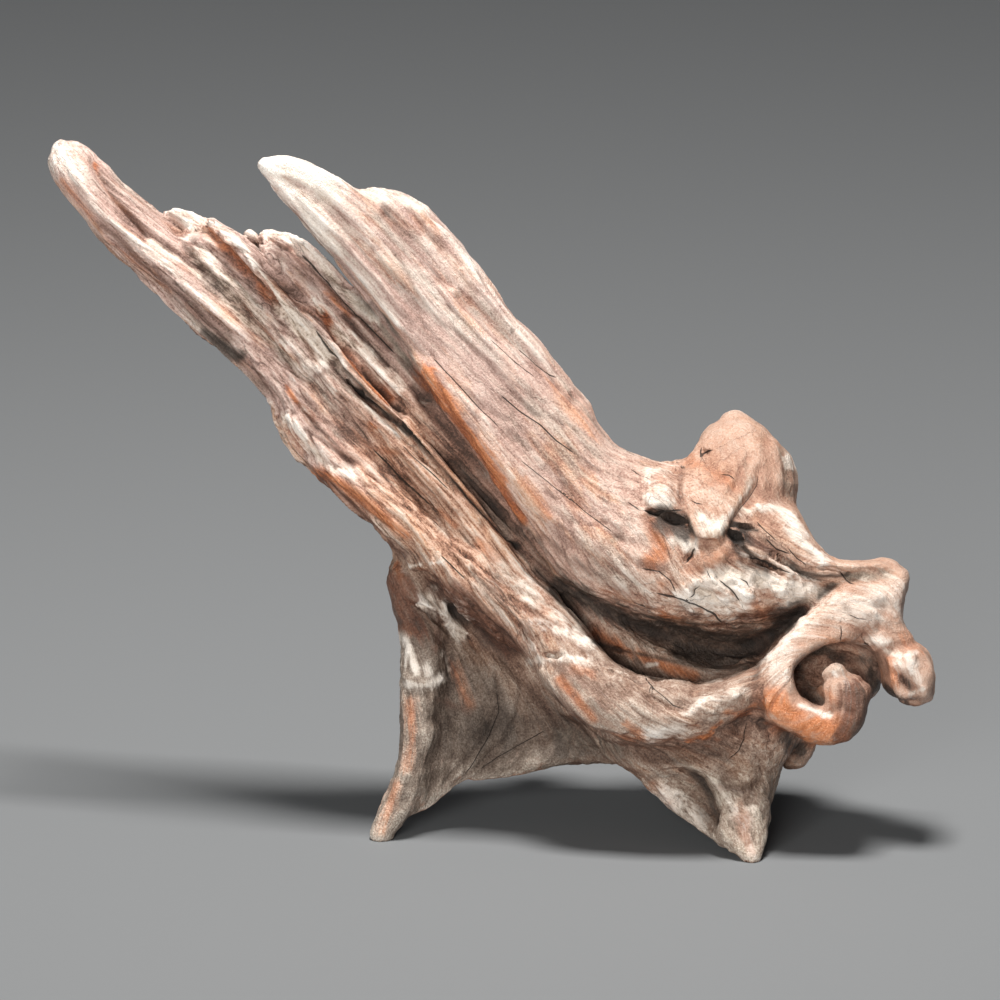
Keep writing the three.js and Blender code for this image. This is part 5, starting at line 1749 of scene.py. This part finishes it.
    # Cracks: the ones listed, and fine checks along the fibres.
    aside = add_node(tree, maths, {"operation": "ABSOLUTE"}, {0: crack.outputs[0]})
    aside = add_node(tree, maths, {"operation": "SUBTRACT"}, {0: aside, 1: crack.outputs[1]})
    line = add_node(tree, spread, {}, {0: aside, 1: 0.05, 2: -0.1})
    there = add_node(tree, maths, {"operation": "GREATER_THAN"}, {0: crack.outputs[1], 1: 0.02})
    line = add_node(tree, maths, {"operation": "MULTIPLY"}, {0: line, 1: there})
    check = add_node(tree, maths, {"operation": "SUBTRACT"}, {0: waves["check"], 1: 0.5})
    check = add_node(tree, maths, {"operation": "ABSOLUTE"}, {0: check})
    check = add_node(tree, spread, {}, {0: check, 1: 0.014, 2: 0.0})
    where = add_node(tree, spread, {}, {0: waves["check_place"], 1: 0.5, 2: 0.6, 4: 0.6})
    check = add_node(tree, maths, {"operation": "MULTIPLY"}, {0: check, 1: where})
    check = add_node(tree, maths, {"operation": "MULTIPLY"}, {0: check, 1: plain})
    line = add_node(tree, maths, {"operation": "MAXIMUM"}, {0: line, 1: check})
    share = add_node(tree, maths, {"operation": "MULTIPLY"}, {0: line, 1: 0.9})
    colour = add_node(tree, "ShaderNodeMix", {"data_type": "RGBA"}, {0: share, 6: colour, 7: linear("#1b120d")})

    # The relief of the fibres in millimetres, with the cracks cut into it.
    relief = 0.0
    for wave, deep in ((waves["thread"], 0.6), (waves["fibre"], 0.75)):
        relief = add_node(tree, maths, {"operation": "MULTIPLY_ADD"}, {0: wave, 1: deep, 2: relief})
    relief = add_node(tree, maths, {"operation": "MULTIPLY"}, {0: relief, 1: plain})
    for wave, deep in ((waves["fuzz"], 0.85), (waves["mottle"], 1.2), (line, -0.8)):
        relief = add_node(tree, maths, {"operation": "MULTIPLY_ADD"}, {0: wave, 1: deep, 2: relief})
    bump = add_node(tree, "ShaderNodeBump", {}, {"Strength": 1.0, "Distance": MM, "Height": relief})
    rough = add_node(tree, spread, {}, {0: tone, 1: 0.2, 2: 0.9, 3: 0.66, 4: 0.42})
    shader = add_node(tree, "ShaderNodeBsdfPrincipled", {}, {
        "Base Color": colour, "Roughness": rough, "Normal": bump, "IOR": 1.5})
    add_node(tree, "ShaderNodeOutputMaterial", {}, {0: shader})
    return material


def studio():
    """A plain pale floor, soft light from above and in front, and the camera."""
    size = 6.0
    floor = bpy.data.meshes.new("floor")
    floor.from_pydata([(-size, -size, 0), (size, -size, 0), (size, size, 0), (-size, size, 0)], [], [(0, 1, 2, 3)])
    ground = bpy.data.objects.new("floor", floor)
    bpy.context.scene.collection.objects.link(ground)
    paint = bpy.data.materials.new("pale_floor")
    paint.use_nodes = True
    shader = paint.node_tree.nodes["Principled BSDF"]
    shader.inputs["Base Color"].default_value = linear("#717579")
    shader.inputs["Roughness"].default_value = 0.9
    floor.materials.append(paint)

    world = bpy.data.worlds.new("studio")
    world.use_nodes = True
    world.node_tree.nodes["Background"].inputs["Color"].default_value = linear("#dfe2e6")
    world.node_tree.nodes["Background"].inputs["Strength"].default_value = 0.08
    bpy.context.scene.world = world

    def area_light(name, place_at, target, width, watts, colour):
        lamp = bpy.data.lights.new(name, "AREA")
        lamp.size = width
        lamp.energy = watts
        lamp.color = linear(colour)[:3]
        light = bpy.data.objects.new(name, lamp)
        light.location = place_at
        light.rotation_euler = (Vector(target) - Vector(place_at)).to_track_quat("-Z", "Y").to_euler()
        bpy.context.scene.collection.objects.link(light)

    area_light("key_light", (0.08, -0.02, 1.7), (0, 0, 0.1), 0.42, 48, "#fff9f2")
    area_light("fill_light", (-0.6, -2.5, 0.6), (-0.05, 0, 0.12), 1.2, 67, "#fffbf4")

    camera = bpy.data.cameras.new("camera")
    distance = 6.0
    sensor = 36.0
    camera.sensor_width = sensor
    camera.lens = sensor * distance / (1000 * STEP * MM)
    camera.clip_end = 50
    view = bpy.data.objects.new("camera", camera)
    aim = place(500.0, 500.0, 0.0) * MM
    look = np.array([0, math.cos(LEAN), -math.sin(LEAN)])
    view.location = aim - look * distance
    view.rotation_euler = (math.pi / 2 - LEAN, 0, 0)
    bpy.context.scene.collection.objects.link(view)
    bpy.context.scene.camera = view
    bpy.context.scene.view_settings.view_transform = "Standard"


def fused_wood(skins):
    """All limbs fused and hollowed, with the forms on their front, and cut flat at the ground."""
    block = Block(np.array(CAD_BOX[0]) / MM - 4, np.array(CAD_BOX[1]) / MM + 4)
    blends = {name: blend for group in GROUPS for name, (blend, rows) in group.items()}
    for name, points in skins.items():
        block.fuse(points, blends[name])
    for blend, rows in HOLLOWS.values():
        block.carve(limb_skin(rows), blend)
    swellings = [block.rows_on_front(line, width, high, 3.0, 0.35) for width, high, line in SWELLINGS]
    for rows in swellings:
        block.fuse(limb_skin(rows), 2.5)
    fissures = [block.rows_on_front(line, width, 2.0, deep, 0.1) for width, deep, line in FISSURES]
    for rows in fissures:
        block.carve(limb_skin(rows), 0.8)
    height = (block.first[2] + np.arange(block.shape[2])) * VOXEL
    block.values = np.maximum(block.values, -height.astype(np.float32))
    return block


def driftwood():
    skins = {
        name: limb_skin(rows, SQUARER.get(name, ROUNDNESS))
        for group in GROUPS for name, (blend, rows) in group.items()}
    block = fused_wood(skins)
    grain = Grain(block, skins)
    skin = Skin(*block.skin())
    skin.smooth(2, 0.4)
    carve_relief(skin, grain, block)
    label, names = part_at_forks(skin)
    caps = all_caps(skin, label, len(names))
    wood = driftwood_material()
    for index, name in enumerate(names):
        piece = make_piece(name, skin, skin.triangles[label == index], caps[index])
        piece.data.materials.append(wood)


driftwood()
studio()
